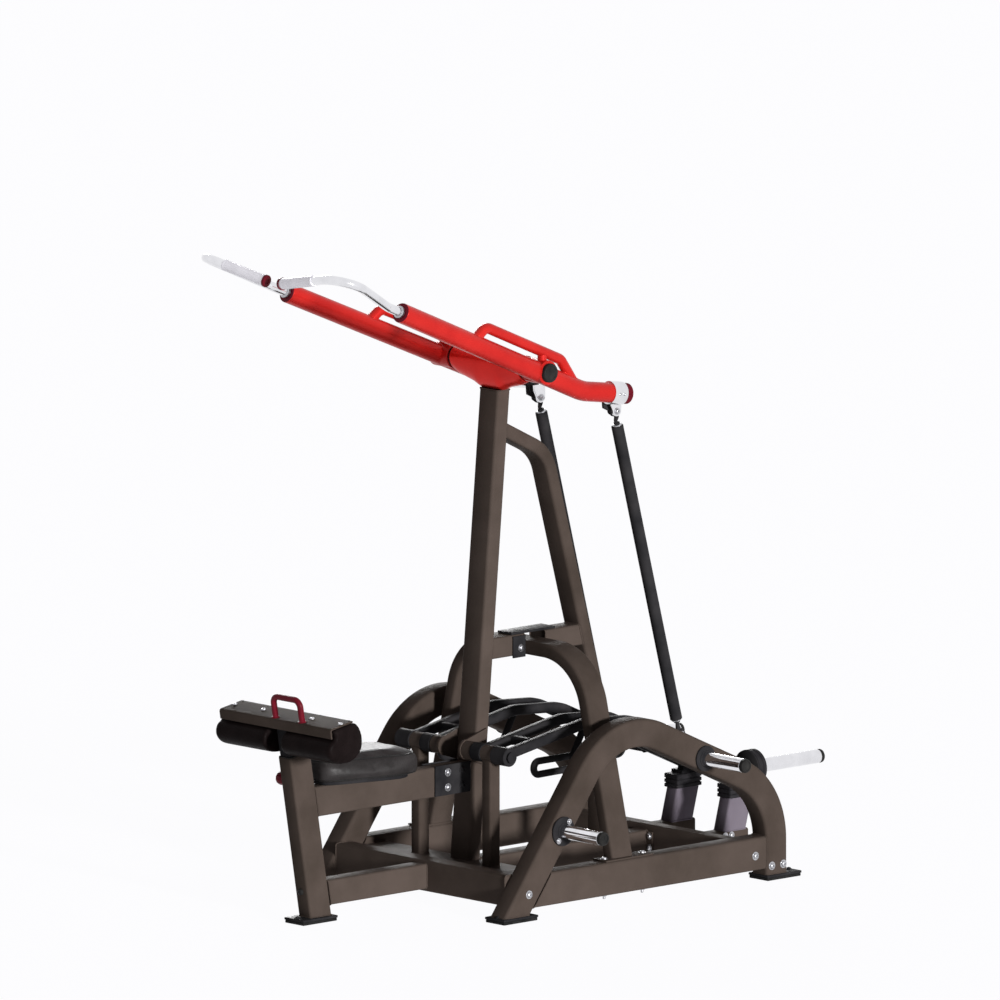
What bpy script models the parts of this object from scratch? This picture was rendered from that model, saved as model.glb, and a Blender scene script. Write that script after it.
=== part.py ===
# Plate-loaded lat pulldown machine: welded steel frame, two overhead arms, push rods and swing levers.
# Metres, +Z up, +X the right-hand side seen from the front, +Y towards the weight end.
import bpy
import bmesh
from math import ceil, cos, pi, radians, sin, tan
from mathutils import Matrix, Vector

gap = 0.0003                 # clearance between pieces that touch

# Side frames
half_track = 0.475           # middle plane of each side arch and rail
side_tube = 0.080            # lateral width of arches and rails
arch_depth = 0.100           # depth of the arch tube in its own plane
arch_front = 0.507           # front leg's centre line where it meets its foot plate
arch_crown = Vector((0.992, 0.672))      # where front leg and rear slope would meet
arch_bend = 0.280            # centre line radius of both bends
arch_fall = 0.460            # fall over run of the rear slope
arch_rear = 1.758            # rear foot's centre line
rail_low = 0.042
rail_high = 0.160
tube_corner = 0.010          # rounding of square tube edges

# Floor plates
plate_length = 0.165
plate_width = 0.100
plate_thick = 0.020
foot_shift = 0.027           # the rear foot plates reach further back than their legs

# Cross members and spine
front_cross_y = 0.560
front_cross_width = 0.080
cross_low = 0.045
cross_high = 0.155
mid_cross_y = 0.710
mid_cross_width = 0.120
rear_cross_y = 1.610
rear_cross_width = 0.060
spine_width = 0.080
spine_low = 0.055
spine_high = 0.135

# Upright, rear stay, beams and hoop
upright_width = 0.100
upright_depth = 0.060
upright_lean = 0.0869        # run to the rear over rise
upright_y = 0.7353           # centre line at the top of the mid cross tube
upright_top = 1.790
stay_width = 0.088
stay_depth = 0.050
stay_joint_z = 1.647         # centre line where the stay meets the upright
stay_elbow = Vector((1.0987, 1.5425))
stay_bend = 0.160
stay_knee = Vector((1.3866, 0.500))  # below it the stay stands upright on the spine
beam_width = 0.080
beam_low = 0.835
beam_high = 0.910
hoop_y = 1.035
hoop_length = 0.100          # size of the hoop tube along Y
hoop_depth = 0.050
hoop_top = 0.860             # centre line of the hoop's level top
hoop_corner_x = 0.297
hoop_foot_x = 0.468
hoop_bend = 0.217

# Seat end
post_width = 0.066
post_depth = 0.100
post_lean = -0.170
post_foot_y = 0.018
post_top = 0.606
post_pocket = 0.330          # depth of the socket for the sliding post
base_low = 0.055
base_high = 0.145
base_width = 0.070
seat_beam_width = 0.060
seat_beam_low = 0.375
seat_beam_high = 0.483
seat_front = 0.000
seat_length = 0.420
seat_front_half = 0.078
seat_rear_half = 0.150
seat_thick = 0.085
seat_crown = 0.012
carrier_thick = 0.012

# Thigh pad, set square to the leaning post: measured across the post and along it
pad_half = 0.297
pad_centre_z = 0.680         # where the pad's middle crosses the post's axis
pad_top = 0.067
pad_section = ((-0.055, 0.067), (0.036, 0.067), (0.059, 0.050), (0.0700, 0.012), (0.064, -0.027),
               (0.040, -0.055), (0.004, -0.067), (-0.040, -0.063), (-0.077, -0.047), (-0.096, -0.020),
               (-0.0945, 0.006), (-0.082, 0.024), (-0.0625, 0.036), (-0.0605, 0.052))
pad_notch_side = 0.012       # free space beside the sliding post
pad_plate_thick = 0.006
pad_flange = 0.036
pad_flange_front = -0.070
pad_plate_rear = 0.039
pad_post_width = 0.056
pad_post_depth = 0.088
pad_travel = 0.100
grab_width = 0.136
grab_x = 0.053               # the handle stands towards the right of the middle
grab_across = -0.050
grab_height = 0.078
grab_radius = 0.011

# Overhead arms
pivot_y = 0.868
pivot_z = upright_top + 0.093
arm_radius = 0.0355
arm_tail_x = 0.240           # the tails run parallel to the middle plane
arm_splay = 0.057            # the front runs open out by this much per metre
arm_front_y = 0.155
arm_slope = 0.4264
arm_bend_y = 1.0732
arm_bend_z = upright_top - 0.002
arm_tail_slope = 0.155
arm_rear_y = 1.287
arm_bend = 0.220
head_radius = 0.046
head_half = 0.175
saddle_levels = ((0, 0.054, 0.032), (0.10, 0.074, 0.038), (0.22, 0.098, 0.042),
                 (0.40, 0.148, 0.044), (1, 0.171, 0.044))   # share of the height, half length, half depth
hub_radius = 0.043
hub_inner = 0.190
hub_outer = 0.286
shaft_radius = 0.015
collar_radius = 0.036
loop_radius = 0.0190
loop_lift = 0.0440
loop_front_y = 0.514
loop_rear_y = 1.047
loop_middle_y = 0.870

# Handles
bar_radius = 0.0165
bar_exit = 0.069             # the bar runs this far straight out of the arm
exit_bend = 0.080
bar_elbow = Vector((0.1294, -0.3750, 0.1833))  # arm end to the elbow, X outwards
grip_run = Vector((-0.3713, 0.0435, -0.0725))  # elbow to the free end, towards the middle
bar_bend = 0.088
grip_radius = 0.0195
grip_length = 0.185
grip_cap = 0.012
socket_depth = 0.060

# Push rods
clamp_y = 1.2290
clamp_width = 0.060
clamp_thick = 0.006
rod_x = 0.195
rod_radius = 0.0215
rod_neck = 0.0065
rod_top = Vector((1.270, pivot_z - 0.193))      # upper pin, Y and Z
rod_foot = Vector((1.585, 0.500))     # lower pin, Y and Z
pin_radius = 0.006
eye_radius = 0.0205
eye_thick = 0.014
lug_thick = 0.008
pin_play = 0.0006
foot_play = 0.0073           # free play of the lower eye round its pin

# Levers
lever_y = 0.690
lever_z = 0.535
rail_inner_x = 0.121
rail_outer_x = 0.243
lever_tube = 0.036
lever_post = 0.050
lever_shaft = 0.014
lever_hub = 0.028
lever_crest = Vector((1.080, 0.605))
lever_drop = Vector((1.300, 0.590))
lever_tail = Vector((1.740, 0.391))
lever_rest_y = 1.930
lever_sink = 0.010           # the rod's cross tube sits this far below the rails, to clear the eye
horn_x = 0.360
horn_z = 0.378
horn_y = 1.7995
horn_length = 0.3155
horn_radius = 0.0245
flange_radius = 0.064
flange_thick = 0.045           # a thick rubber-faced disc behind the plates

# Stops
stop_x = 0.136
stop_width = 0.060
stop_depth = 0.105
stop_low = 0.045
stop_shelf = 0.115
stop_y = 1.885
stop_lean = radians(15)
stop_head = 0.229
stop_cap_height = 0.050

# Storage horns
store_length = 0.210
store_flange = 0.052
store_flange_thick = 0.010
store_front = Vector((0.722, 0.300))
store_rear = Vector((1.407, 0.475))

# Thigh pad lock
knob_z = 0.508
knob_radius = 0.0225
knob_pin = 0.006

finishes = {
    "frame_paint": ((0.045, 0.038, 0.030, 1), 0.32, 0.35),
    "arm_paint": ((0.72, 0.018, 0.012, 1), 0.25, 0.10),
    "trim_red": ((0.38, 0.010, 0.018, 1), 0.35, 0.05),
    "chrome": ((0.78, 0.78, 0.80, 1), 0.10, 1.00),
    "steel": ((0.42, 0.42, 0.43, 1), 0.30, 1.00),
    "rubber": ((0.012, 0.012, 0.012, 1), 0.65, 0.00),
    "black_steel": ((0.016, 0.016, 0.017, 1), 0.38, 0.40),
    "grip": ((0.62, 0.62, 0.66, 1), 0.45, 0.00),
    "vinyl": ((0.020, 0.018, 0.020, 1), 0.42, 0.00),
}


def clear_scene():
    for thing in list(bpy.data.objects):
        bpy.data.objects.remove(thing, do_unlink=True)


def finish_of(name):
    material = bpy.data.materials.get(name)
    if material:
        return material
    colour, roughness, metallic = finishes[name]
    material = bpy.data.materials.new(name)
    material.use_nodes = True
    shader = material.node_tree.nodes["Principled BSDF"]
    shader.inputs["Base Color"].default_value = colour
    shader.inputs["Roughness"].default_value = roughness
    shader.inputs["Metallic"].default_value = metallic
    return material


def place(name, mesh_builder, finish, parent=None):
    """Turns a bmesh into a named object, with its origin on its parent's axis if it has one."""
    bmesh.ops.recalc_face_normals(mesh_builder, faces=mesh_builder.faces)
    mesh = bpy.data.meshes.new(name)
    mesh_builder.to_mesh(mesh)
    mesh_builder.free()
    if parent:
        mesh.transform(Matrix.Translation(-parent.location))
    mesh.shade_smooth()
    mesh.set_sharp_from_angle(angle=radians(32))
    mesh.materials.append(finish_of(finish))
    thing = bpy.data.objects.new(name, mesh)
    bpy.context.scene.collection.objects.link(thing)
    thing.parent = parent
    return thing


def axis_empty(name, point):
    marker = bpy.data.objects.new(name, None)
    marker.location = point
    bpy.context.scene.collection.objects.link(marker)
    return marker


def rectangle(width, depth, corner=tube_corner, steps=1):
    """Rounded rectangle as (side, normal) pairs, anticlockwise."""
    corner = min(corner, width * 0.45, depth * 0.45)
    ring = []
    for turn in range(4):
        across = 1 if turn in (0, 3) else -1
        along = 1 if turn in (0, 1) else -1
        centre = (across * (width / 2 - corner), along * (depth / 2 - corner))
        for step in range(steps + 1):
            angle = pi / 2 * (turn + step / steps)
            ring.append((centre[0] + corner * cos(angle), centre[1] + corner * sin(angle)))
    return ring


def circle(radius, sides=16):
    return [(radius * cos(2 * pi * i / sides), radius * sin(2 * pi * i / sides)) for i in range(sides)]


def rounded_path(points, radius, step=radians(9)):
    """Straight runs joined by arcs of one radius."""
    path = [points[0]]
    for before, corner, after in zip(points, points[1:], points[2:]):
        inward = (before - corner).normalized()
        onward = (after - corner).normalized()
        turn = pi - inward.angle(onward)
        reach = radius * tan(turn / 2)
        centre = corner + (inward + onward).normalized() * (radius / cos(turn / 2))
        start = corner + inward * reach - centre
        end = corner + onward * reach - centre
        count = max(2, ceil(turn / step))
        for i in range(count + 1):
            share = i / count
            blend = (start * sin((1 - share) * turn) + end * sin(share * turn)) / sin(turn)
            path.append(centre + blend)
    path.append(points[-1])
    return path


def sweep(path, ring, side=None, start_cut=None, end_cut=None):
    """Solid bar along a path. A flat path names its side axis; a cut is the normal of an end's plane."""
    builder = bmesh.new()
    rings = []
    across = side
    for i, point in enumerate(path):
        before = (point - path[i - 1]).normalized() if i else (path[1] - point).normalized()
        after = (path[i + 1] - point).normalized() if i + 1 < len(path) else before
        tangent = (before + after).normalized()
        if side is None:
            if across is None:
                across = tangent.orthogonal().normalized()
            across = (across - tangent * across.dot(tangent)).normalized()
        normal = tangent.cross(across).normalized()
        stretch = 1 / max(0.3, cos(before.angle(after) / 2)) if i else 1
        outward = (before - after)
        corners = []
        for a, b in ring:
            offset = across * a + normal * b
            if outward.length > 1e-6:
                lean = outward.normalized()
                offset = offset + lean * offset.dot(lean) * (stretch - 1)
            corners.append(point + offset)
        cut = start_cut if i == 0 else end_cut if i + 1 == len(path) else None
        if cut is not None:
            corners = [c + tangent * ((point - c).dot(cut) / tangent.dot(cut)) for c in corners]
        rings.append([builder.verts.new(c) for c in corners])
    for one, two in zip(rings, rings[1:]):
        for i in range(len(ring)):
            j = (i + 1) % len(ring)
            builder.faces.new((one[i], one[j], two[j], two[i]))
    builder.faces.new(list(reversed(rings[0])))
    builder.faces.new(rings[-1])
    return builder


def stack(levels):
    """Closed solid through a list of rings of equal count, capped at both ends."""
    builder = bmesh.new()
    rings = [[builder.verts.new(point) for point in level] for level in levels]
    for one, two in zip(rings, rings[1:]):
        for i in range(len(one)):
            j = (i + 1) % len(one)
            builder.faces.new((one[i], one[j], two[j], two[i]))
    builder.faces.new(list(reversed(rings[0])))
    builder.faces.new(rings[-1])
    return builder


def block(low, high, bevel=0.0):
    builder = bmesh.new()
    bmesh.ops.create_cube(builder, size=1.0)
    size = Vector(high) - Vector(low)
    middle = (Vector(high) + Vector(low)) / 2
    for vert in builder.verts:
        vert.co = Vector((vert.co.x * size.x, vert.co.y * size.y, vert.co.z * size.z)) + middle
    if bevel:
        bmesh.ops.bevel(builder, geom=list(builder.edges), offset=bevel, segments=1, affect="EDGES")
    return builder


def bar(start, end, radius, sides=16):
    return sweep([Vector(start), Vector(end)], circle(radius, sides))


def turned(start, direction, profile, sides=20):
    """Round piece along an axis: profile is (distance, radius) pairs."""
    direction = Vector(direction).normalized()
    across = direction.orthogonal().normalized()
    other = direction.cross(across)
    levels = []
    for distance, radius in profile:
        centre = Vector(start) + direction * distance
        levels.append([centre + across * a + other * b for a, b in circle(radius, sides)])
    return stack(levels)


def combine(first, second, operation="UNION"):
    """Boolean of two bmesh solids, returned as a new bmesh."""
    pieces = []
    for builder in (first, second):
        bmesh.ops.recalc_face_normals(builder, faces=builder.faces)
        mesh = bpy.data.meshes.new("work")
        builder.to_mesh(mesh)
        builder.free()
        thing = bpy.data.objects.new("work", mesh)
        bpy.context.scene.collection.objects.link(thing)
        pieces.append(thing)
    cut = pieces[0].modifiers.new("cut", "BOOLEAN")
    cut.object = pieces[1]
    cut.operation = operation
    view = bpy.context.evaluated_depsgraph_get()
    view.update()
    result = bmesh.new()
    result.from_mesh(pieces[0].evaluated_get(view).to_mesh())
    for thing in pieces:
        bpy.data.objects.remove(thing, do_unlink=True)
    return result


def weld(*builders):
    whole = builders[0]
    for other in builders[1:]:
        whole = combine(whole, other)
    return whole


def yz(point, x=0.0):
    return Vector((x, point[0], point[1]))


sides = {"right": 1, "left": -1}
x_axis = Vector((1, 0, 0))
y_axis = Vector((0, 1, 0))
z_axis = Vector((0, 0, 1))


arch_slope = (arch_crown.y - plate_thick) / (arch_crown.x - arch_front)


def arch_leg_y(z):
    """Centre line of the arch's straight front leg at a height."""
    return arch_front + (z - plate_thick) / arch_slope


def upright_at(z):
    return upright_y + upright_lean * (z - spine_high)


def post_at(z):
    return post_foot_y + post_lean * (z - plate_thick)


def make_side_frames():
    leg_way = Vector((0, 1, arch_slope)).normalized()
    leg_normal = Vector((0, arch_slope, -1)).normalized()
    for name, side in sides.items():
        x = side * half_track
        fall_end = arch_crown.y - arch_fall * (arch_rear - arch_crown.x)
        corners = [
            yz((arch_leg_y(plate_thick + gap), plate_thick + gap), x),
            yz(arch_crown, x),
            yz((arch_rear, fall_end), x),
            yz((arch_rear, plate_thick + gap), x),
        ]
        path = rounded_path(corners, arch_bend, radians(7))
        tube = rectangle(side_tube, arch_depth, steps=2)
        place(f"arch_{name}", sweep(path, tube, x_axis, start_cut=z_axis), "frame_paint")
        middle = (rail_low + rail_high) / 2
        start = yz((arch_leg_y(middle) + (arch_depth / 2 + gap) / leg_normal.y, middle), x)
        end = yz((arch_rear - arch_depth / 2 - 0.0015, middle), x)
        rail = sweep([start, end], rectangle(side_tube, rail_high - rail_low), x_axis, start_cut=leg_normal)
        place(f"rail_{name}", rail, "frame_paint")
        for end_name, y in (("front", arch_front + 0.008), ("rear", arch_rear + foot_shift)):
            low = (x - plate_width / 2, y - plate_length / 2, 0)
            high = (x + plate_width / 2, y + plate_length / 2, plate_thick)
            place(f"foot_{name}_{end_name}", block(low, high, 0.003), "black_steel")


def cross_member(name, y, width, low, high):
    reach = half_track - side_tube / 2 - gap
    middle = (low + high) / 2
    path = [Vector((-reach, y, middle)), Vector((reach, y, middle))]
    place(name, sweep(path, rectangle(width, high - low), y_axis), "frame_paint")


def make_base():
    cross_member("front_cross_tube", front_cross_y, front_cross_width, cross_low, cross_high)
    cross_member("mid_cross_tube", mid_cross_y, mid_cross_width, spine_low, spine_high)
    cross_member("rear_cross_tube", rear_cross_y, rear_cross_width, cross_low, cross_high)
    middle = (spine_low + spine_high) / 2
    start = Vector((0, mid_cross_y + mid_cross_width / 2 + gap, middle))
    end = Vector((0, rear_cross_y - rear_cross_width / 2 - gap, middle))
    tube = rectangle(spine_width, spine_high - spine_low)
    place("spine_tube", sweep([start, end], tube, x_axis), "frame_paint")


def make_tower():
    foot = Vector((0, upright_at(spine_high + gap), spine_high + gap))
    top = Vector((0, upright_at(upright_top), upright_top))
    tube = rectangle(upright_width, upright_depth)
    upright = sweep([foot, top], tube, x_axis, start_cut=z_axis, end_cut=z_axis)
    place("main_upright", upright, "frame_paint")

    face = Vector((0, 1, -upright_lean)).normalized()
    stay_start = Vector((0, upright_at(stay_joint_z), stay_joint_z)) + face * (upright_depth / 2 + gap)
    stay_foot = Vector((0, stay_knee.x, spine_high + gap))
    path = rounded_path([stay_start, yz(stay_elbow), yz(stay_knee), stay_foot], stay_bend, radians(6))
    stay = sweep(path, rectangle(stay_width, stay_depth, steps=2), x_axis, start_cut=face, end_cut=z_axis)
    place("rear_stay", stay, "frame_paint")

    middle = (beam_low + beam_high) / 2
    start = Vector((0, upright_at(middle), middle)) + y_axis * ((upright_depth / 2 + gap) / face.y)
    end = Vector((0, hoop_y - hoop_length / 2 - gap, middle))
    tube = rectangle(beam_width, beam_high - beam_low)
    place("front_beam", sweep([start, end], tube, x_axis, start_cut=face), "frame_paint")
    start = Vector((0, hoop_y + hoop_length / 2 + gap, middle))
    run = (yz(stay_knee) - yz(stay_elbow)).normalized()
    square = Vector((0, -run.z, run.y))
    stay_y = stay_elbow.x + (middle - stay_elbow.y) * run.y / run.z
    end = Vector((0, stay_y - (stay_depth / 2 + gap) / square.y, middle))
    place("rear_beam", sweep([start, end], tube, x_axis, end_cut=square), "frame_paint")
    low = (-beam_width / 2 + 0.004, hoop_y - 0.110, beam_high + gap)
    high = (beam_width / 2 - 0.004, hoop_y + 0.100, beam_high + 0.009)
    place("tie_plate", block(low, high, 0.002), "black_steel")

    corners = [
        Vector((-hoop_foot_x, hoop_y, rail_high + gap)),
        Vector((-hoop_corner_x, hoop_y, hoop_top)),
        Vector((hoop_corner_x, hoop_y, hoop_top)),
        Vector((hoop_foot_x, hoop_y, rail_high + gap)),
    ]
    path = rounded_path(corners, hoop_bend, radians(7))
    tube = rectangle(hoop_length, hoop_depth, steps=2)
    place("hoop", sweep(path, tube, y_axis, start_cut=z_axis, end_cut=z_axis), "frame_paint")


def make_seat_end():
    foot = Vector((0, post_at(plate_thick + gap), plate_thick + gap))
    top = Vector((0, post_at(post_top), post_top))
    way = (top - foot).normalized()
    face = way.cross(x_axis).normalized()
    if face.y < 0:
        face = -face
    tube = rectangle(post_width, post_depth)
    post = sweep([foot, top], tube, x_axis, start_cut=z_axis)
    pocket_width = pad_post_width + 2 * gap
    pocket_depth = pad_post_depth + 2 * gap
    pocket = sweep([top - way * post_pocket, top + way * 0.05], rectangle(pocket_width, pocket_depth, 0.004), x_axis)
    post = combine(post, pocket, "DIFFERENCE")
    knob_centre = Vector((0, post_at(knob_z), knob_z))
    drill = bar(knob_centre - x_axis * (post_width / 2 + 0.01), knob_centre, knob_pin + gap, 12)
    post = combine(post, drill, "DIFFERENCE")
    place("front_post", post, "frame_paint")

    y = post_foot_y - 0.020
    low = (-plate_width / 2, y - plate_length / 2, 0)
    high = (plate_width / 2, y + plate_length / 2, plate_thick)
    place("foot_seat", block(low, high, 0.003), "black_steel")

    for name, width, low_z, high_z, end in (
        ("base_tube", base_width, base_low, base_high, front_cross_y - front_cross_width / 2 - gap),
        ("seat_beam", seat_beam_width, seat_beam_low, seat_beam_high, None),
    ):
        middle = (low_z + high_z) / 2
        start = Vector((0, post_at(middle) + (post_depth / 2 + gap) / face.y, middle))
        cut = None
        if end is None:
            cut = Vector((0, 1, -upright_lean)).normalized()
            end = upright_at(middle) - (upright_depth / 2 + gap) / cut.y
        tube = rectangle(width, high_z - low_z)
        beam = sweep([start, Vector((0, end, middle))], tube, x_axis, start_cut=face, end_cut=cut)
        place(name, beam, "frame_paint")
    return way, face, top


def seat_outline(inset, count=40):
    """Tapered cushion outline, narrow at the front, as points round its edge."""
    points = []
    half = seat_length / 2
    for i in range(count):
        angle = 2 * pi * (i + 0.5) / count
        power = 0.42
        across = abs(cos(angle)) ** power * (1 if cos(angle) > 0 else -1)
        along = abs(sin(angle)) ** power * (1 if sin(angle) > 0 else -1)
        share = (along + 1) / 2
        width = seat_front_half + (seat_rear_half - seat_front_half) * min(1, share * 1.25)
        points.append((across * (width - inset), along * (half - inset)))
    return points


def make_seat():
    carrier_low = seat_beam_high + gap
    cushion_low = carrier_low + carrier_thick + gap
    middle_y = seat_front + seat_length / 2
    levels = []
    for z, inset in ((0.0, 0.030), (carrier_thick, 0.030)):
        levels.append([Vector((x, middle_y + y, carrier_low + z)) for x, y in seat_outline(inset, count=24)])
    place("seat_carrier", stack(levels), "black_steel")
    profile = (
        (0.000, 0.016), (0.010, 0.004), (0.028, 0.000), (0.055, 0.002),
        (0.072, 0.012), (0.082, 0.034), (0.085 + 0.4 * seat_crown, 0.062),
    )
    levels = []
    for z, inset in profile:
        height = cushion_low + z * seat_thick / 0.085
        levels.append([Vector((x, middle_y + y, height)) for x, y in seat_outline(inset)])
    place("seat_cushion", stack(levels), "vinyl")


def smooth_ring(points, pieces=3):
    """Closed curve through the given corners, as a finer ring of pairs."""
    ring = []
    count = len(points)
    for i in range(count):
        before, start, end, after = (Vector(points[(i + k) % count]) for k in (-1, 0, 1, 2))
        for step in range(pieces):
            t = step / pieces
            curve = 2 * start + (end - before) * t
            curve += (2 * before - 5 * start + 4 * end - after) * t * t
            curve += (3 * start - before - 3 * end + after) * t * t * t
            ring.append(curve / 2)
    return ring


def make_thigh_pad(way, face, post_top_point):
    slider = axis_empty("thigh_pad_slide", post_top_point)
    origin = Vector((0, post_at(pad_centre_z), pad_centre_z))

    def at(x, across, along):
        return origin + x_axis * x + face * across + way * along

    section = smooth_ring(pad_section)
    middle = Vector((-0.012, 0.004))
    ends = ((1.0, 0.80), (0.990, 0.90), (0.970, 0.965), (0.935, 0.995), (0.88, 1.0), (0.45, 1.0))
    stations = [(-share, size) for share, size in ends] + list(reversed(ends))
    levels = []
    for share, size in stations:
        ring = [middle + (point - middle) * size for point in section]
        levels.append([at(share * pad_half, across, min(along, pad_top)) for across, along in ring])
    notch_half = pad_post_width / 2 + pad_notch_side
    notch_rear = pad_post_depth / 2 + 0.004
    notch = stack([
        [at(x, across, along) for x, across in (
            (-notch_half, -0.15), (notch_half, -0.15), (notch_half, notch_rear), (-notch_half, notch_rear))]
        for along in (-0.15, 0.15)
    ])
    place("thigh_pad", combine(stack(levels), notch, "DIFFERENCE"), "vinyl", slider)

    low = pad_top + gap
    top = low + pad_plate_thick
    front = pad_flange_front
    inner = front + pad_plate_thick
    outline = [
        (pad_plate_rear, low), (pad_plate_rear, top),
        (front + 0.008, top), (front + 0.002, top - 0.002), (front, top - 0.008),
        (front, top - pad_flange), (inner, top - pad_flange), (inner, low - 0.004), (inner + 0.004, low),
    ]
    levels = [[at(x, across, along) for across, along in outline] for x in (-pad_half + 0.011, pad_half - 0.011)]
    place("pad_plate", stack(levels), "frame_paint", slider)

    half = grab_width / 2
    foot = top + gap
    corners = [
        at(grab_x - half, grab_across, foot), at(grab_x - half, grab_across, foot + grab_height),
        at(grab_x + half, grab_across, foot + grab_height), at(grab_x + half, grab_across, foot),
    ]
    grab = sweep(rounded_path(corners, 0.026, radians(18)), circle(grab_radius, 12), face)
    place("pad_grab_handle", grab, "trim_red", slider)

    low_point = post_top_point - way * (post_pocket - 0.020)
    high_point = at(0, 0, pad_top)
    stem = sweep([low_point, high_point], rectangle(pad_post_width, pad_post_depth, 0.004), x_axis)
    lock = Vector((0, post_at(knob_z), knob_z))
    for step in range(5):
        centre = lock - way * (pad_travel / 4 * step)
        drill = bar(centre - x_axis * 0.05, centre, knob_pin + gap, 12)
        stem = combine(stem, drill, "DIFFERENCE")
    place("pad_post", stem, "black_steel", slider)

    knob_axis = axis_empty("lock_pin_slide", lock)
    surface = post_width / 2
    pull = -x_axis
    profile = [
        (pad_post_width / 2 + 2 * gap, knob_pin), (surface + 0.0004, knob_pin), (surface + 0.0005, 0.010),
        (surface + 0.026, 0.010), (surface + 0.028, knob_radius), (surface + 0.045, knob_radius * 1.12),
        (surface + 0.058, knob_radius), (surface + 0.063, knob_radius * 0.55),
    ]
    place("lock_pin", turned(lock, pull, profile, 16), "trim_red", knob_axis)


def arm_centre_x(y):
    return arm_tail_x + arm_splay * max(0, arm_bend_y - y)


def arm_point(y, side):
    slope = arm_slope if y <= arm_bend_y else arm_tail_slope
    return Vector((side * arm_centre_x(y), y, arm_bend_z - slope * (y - arm_bend_y)))


def make_pivot_head():
    centre = Vector((0, pivot_y, pivot_z))
    head = bar(centre - x_axis * head_half, centre + x_axis * head_half, head_radius, 24)
    seat_low = upright_top + gap
    top_y = upright_at(upright_top)
    levels = []
    for share, half, depth in saddle_levels:
        y = top_y + (pivot_y - top_y) * share
        z = seat_low + (pivot_z - seat_low) * share
        levels.append([Vector((a, y + b, z)) for a, b in rectangle(2 * half, 2 * depth, 0.020, 3)])
    head = combine(head, stack(levels))
    bore = bar(centre - x_axis * 0.3, centre + x_axis * 0.3, shaft_radius + gap, 20)
    place("pivot_head", combine(head, bore, "DIFFERENCE"), "arm_paint")
    profile = [(-hub_outer, shaft_radius), (-hub_inner + gap, shaft_radius), (-hub_inner + gap, collar_radius),
               (-head_half - gap, collar_radius), (-head_half - gap, shaft_radius)]
    mirrored = [(-distance, radius) for distance, radius in reversed(profile)]
    place("pivot_shaft", turned(centre, x_axis, profile + mirrored, 20), "black_steel")


def make_arm(name, side):
    axis = axis_empty(f"arm_{name}_pivot", Vector((0, pivot_y, pivot_z)))
    corners = [arm_point(y, side) for y in (arm_front_y, arm_bend_y, arm_rear_y)]
    path = rounded_path(corners, arm_bend, radians(4))
    arm = sweep(path, circle(arm_radius, 20))
    hub_start = Vector((side * hub_inner, pivot_y, pivot_z))
    hub_end = Vector((side * hub_outer, pivot_y, pivot_z))
    arm = combine(arm, bar(hub_start, hub_end, hub_radius, 24))
    lift = Vector((0, 0, arm_radius + loop_lift))
    loop = rounded_path([
        arm_point(loop_front_y, side), arm_point(loop_front_y + 0.070, side) + lift,
        arm_point(loop_rear_y - 0.085, side) + lift, arm_point(loop_rear_y, side),
    ], 0.040, radians(14))
    arm = combine(arm, sweep(loop, circle(loop_radius, 12), x_axis))
    leg_foot = arm_point(loop_middle_y, side)
    arm = combine(arm, bar(leg_foot, leg_foot + lift * 0.98, loop_radius * 0.85, 10))
    front = corners[0]
    way = (corners[1] - corners[0]).normalized()
    socket = bar(front - way * 0.02, front + way * socket_depth, bar_radius + gap, 20)
    arm = combine(arm, socket, "DIFFERENCE")
    bore = bar(hub_start - x_axis * side * 0.1, hub_end + x_axis * side * 0.1, shaft_radius + gap, 20)
    place(f"arm_{name}", combine(arm, bore, "DIFFERENCE"), "arm_paint", axis)
    make_handle(name, side, front, way, axis)
    make_clamp(name, side, axis)


def make_handle(name, side, front, way, axis):
    elbow = front + Vector((side * bar_elbow.x, bar_elbow.y, bar_elbow.z))
    end = elbow + Vector((side * grip_run.x, grip_run.y, grip_run.z))
    start = front + way * (socket_depth - 0.003)
    leave = front - way * bar_exit
    middle = (leave + elbow) / 2
    path = rounded_path([start, leave, middle], exit_bend, radians(6))
    path = path[:-1] + rounded_path([middle, elbow, end], bar_bend, radians(10))
    place(f"handle_bar_{name}", sweep(path, circle(bar_radius, 16)), "chrome", axis)
    run_way = (end - elbow).normalized()
    grip_start = end - run_way * grip_length
    profile = [(0, grip_radius * 0.92), (0.006, grip_radius), (grip_length + 0.004, grip_radius)]
    sleeve = turned(grip_start, run_way, profile, 18)
    bore = bar(grip_start - run_way * 0.02, end + run_way * gap, bar_radius + gap, 32)
    place(f"grip_{name}", combine(sleeve, bore, "DIFFERENCE"), "grip", axis)
    cap_start = grip_start + run_way * (grip_length + 0.004 + gap)
    profile = [(0, grip_radius * 1.14), (grip_cap * 0.8, grip_radius * 1.14), (grip_cap, grip_radius * 0.98)]
    place(f"grip_cap_{name}", turned(cap_start, run_way, profile, 18), "trim_red", axis)


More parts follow.
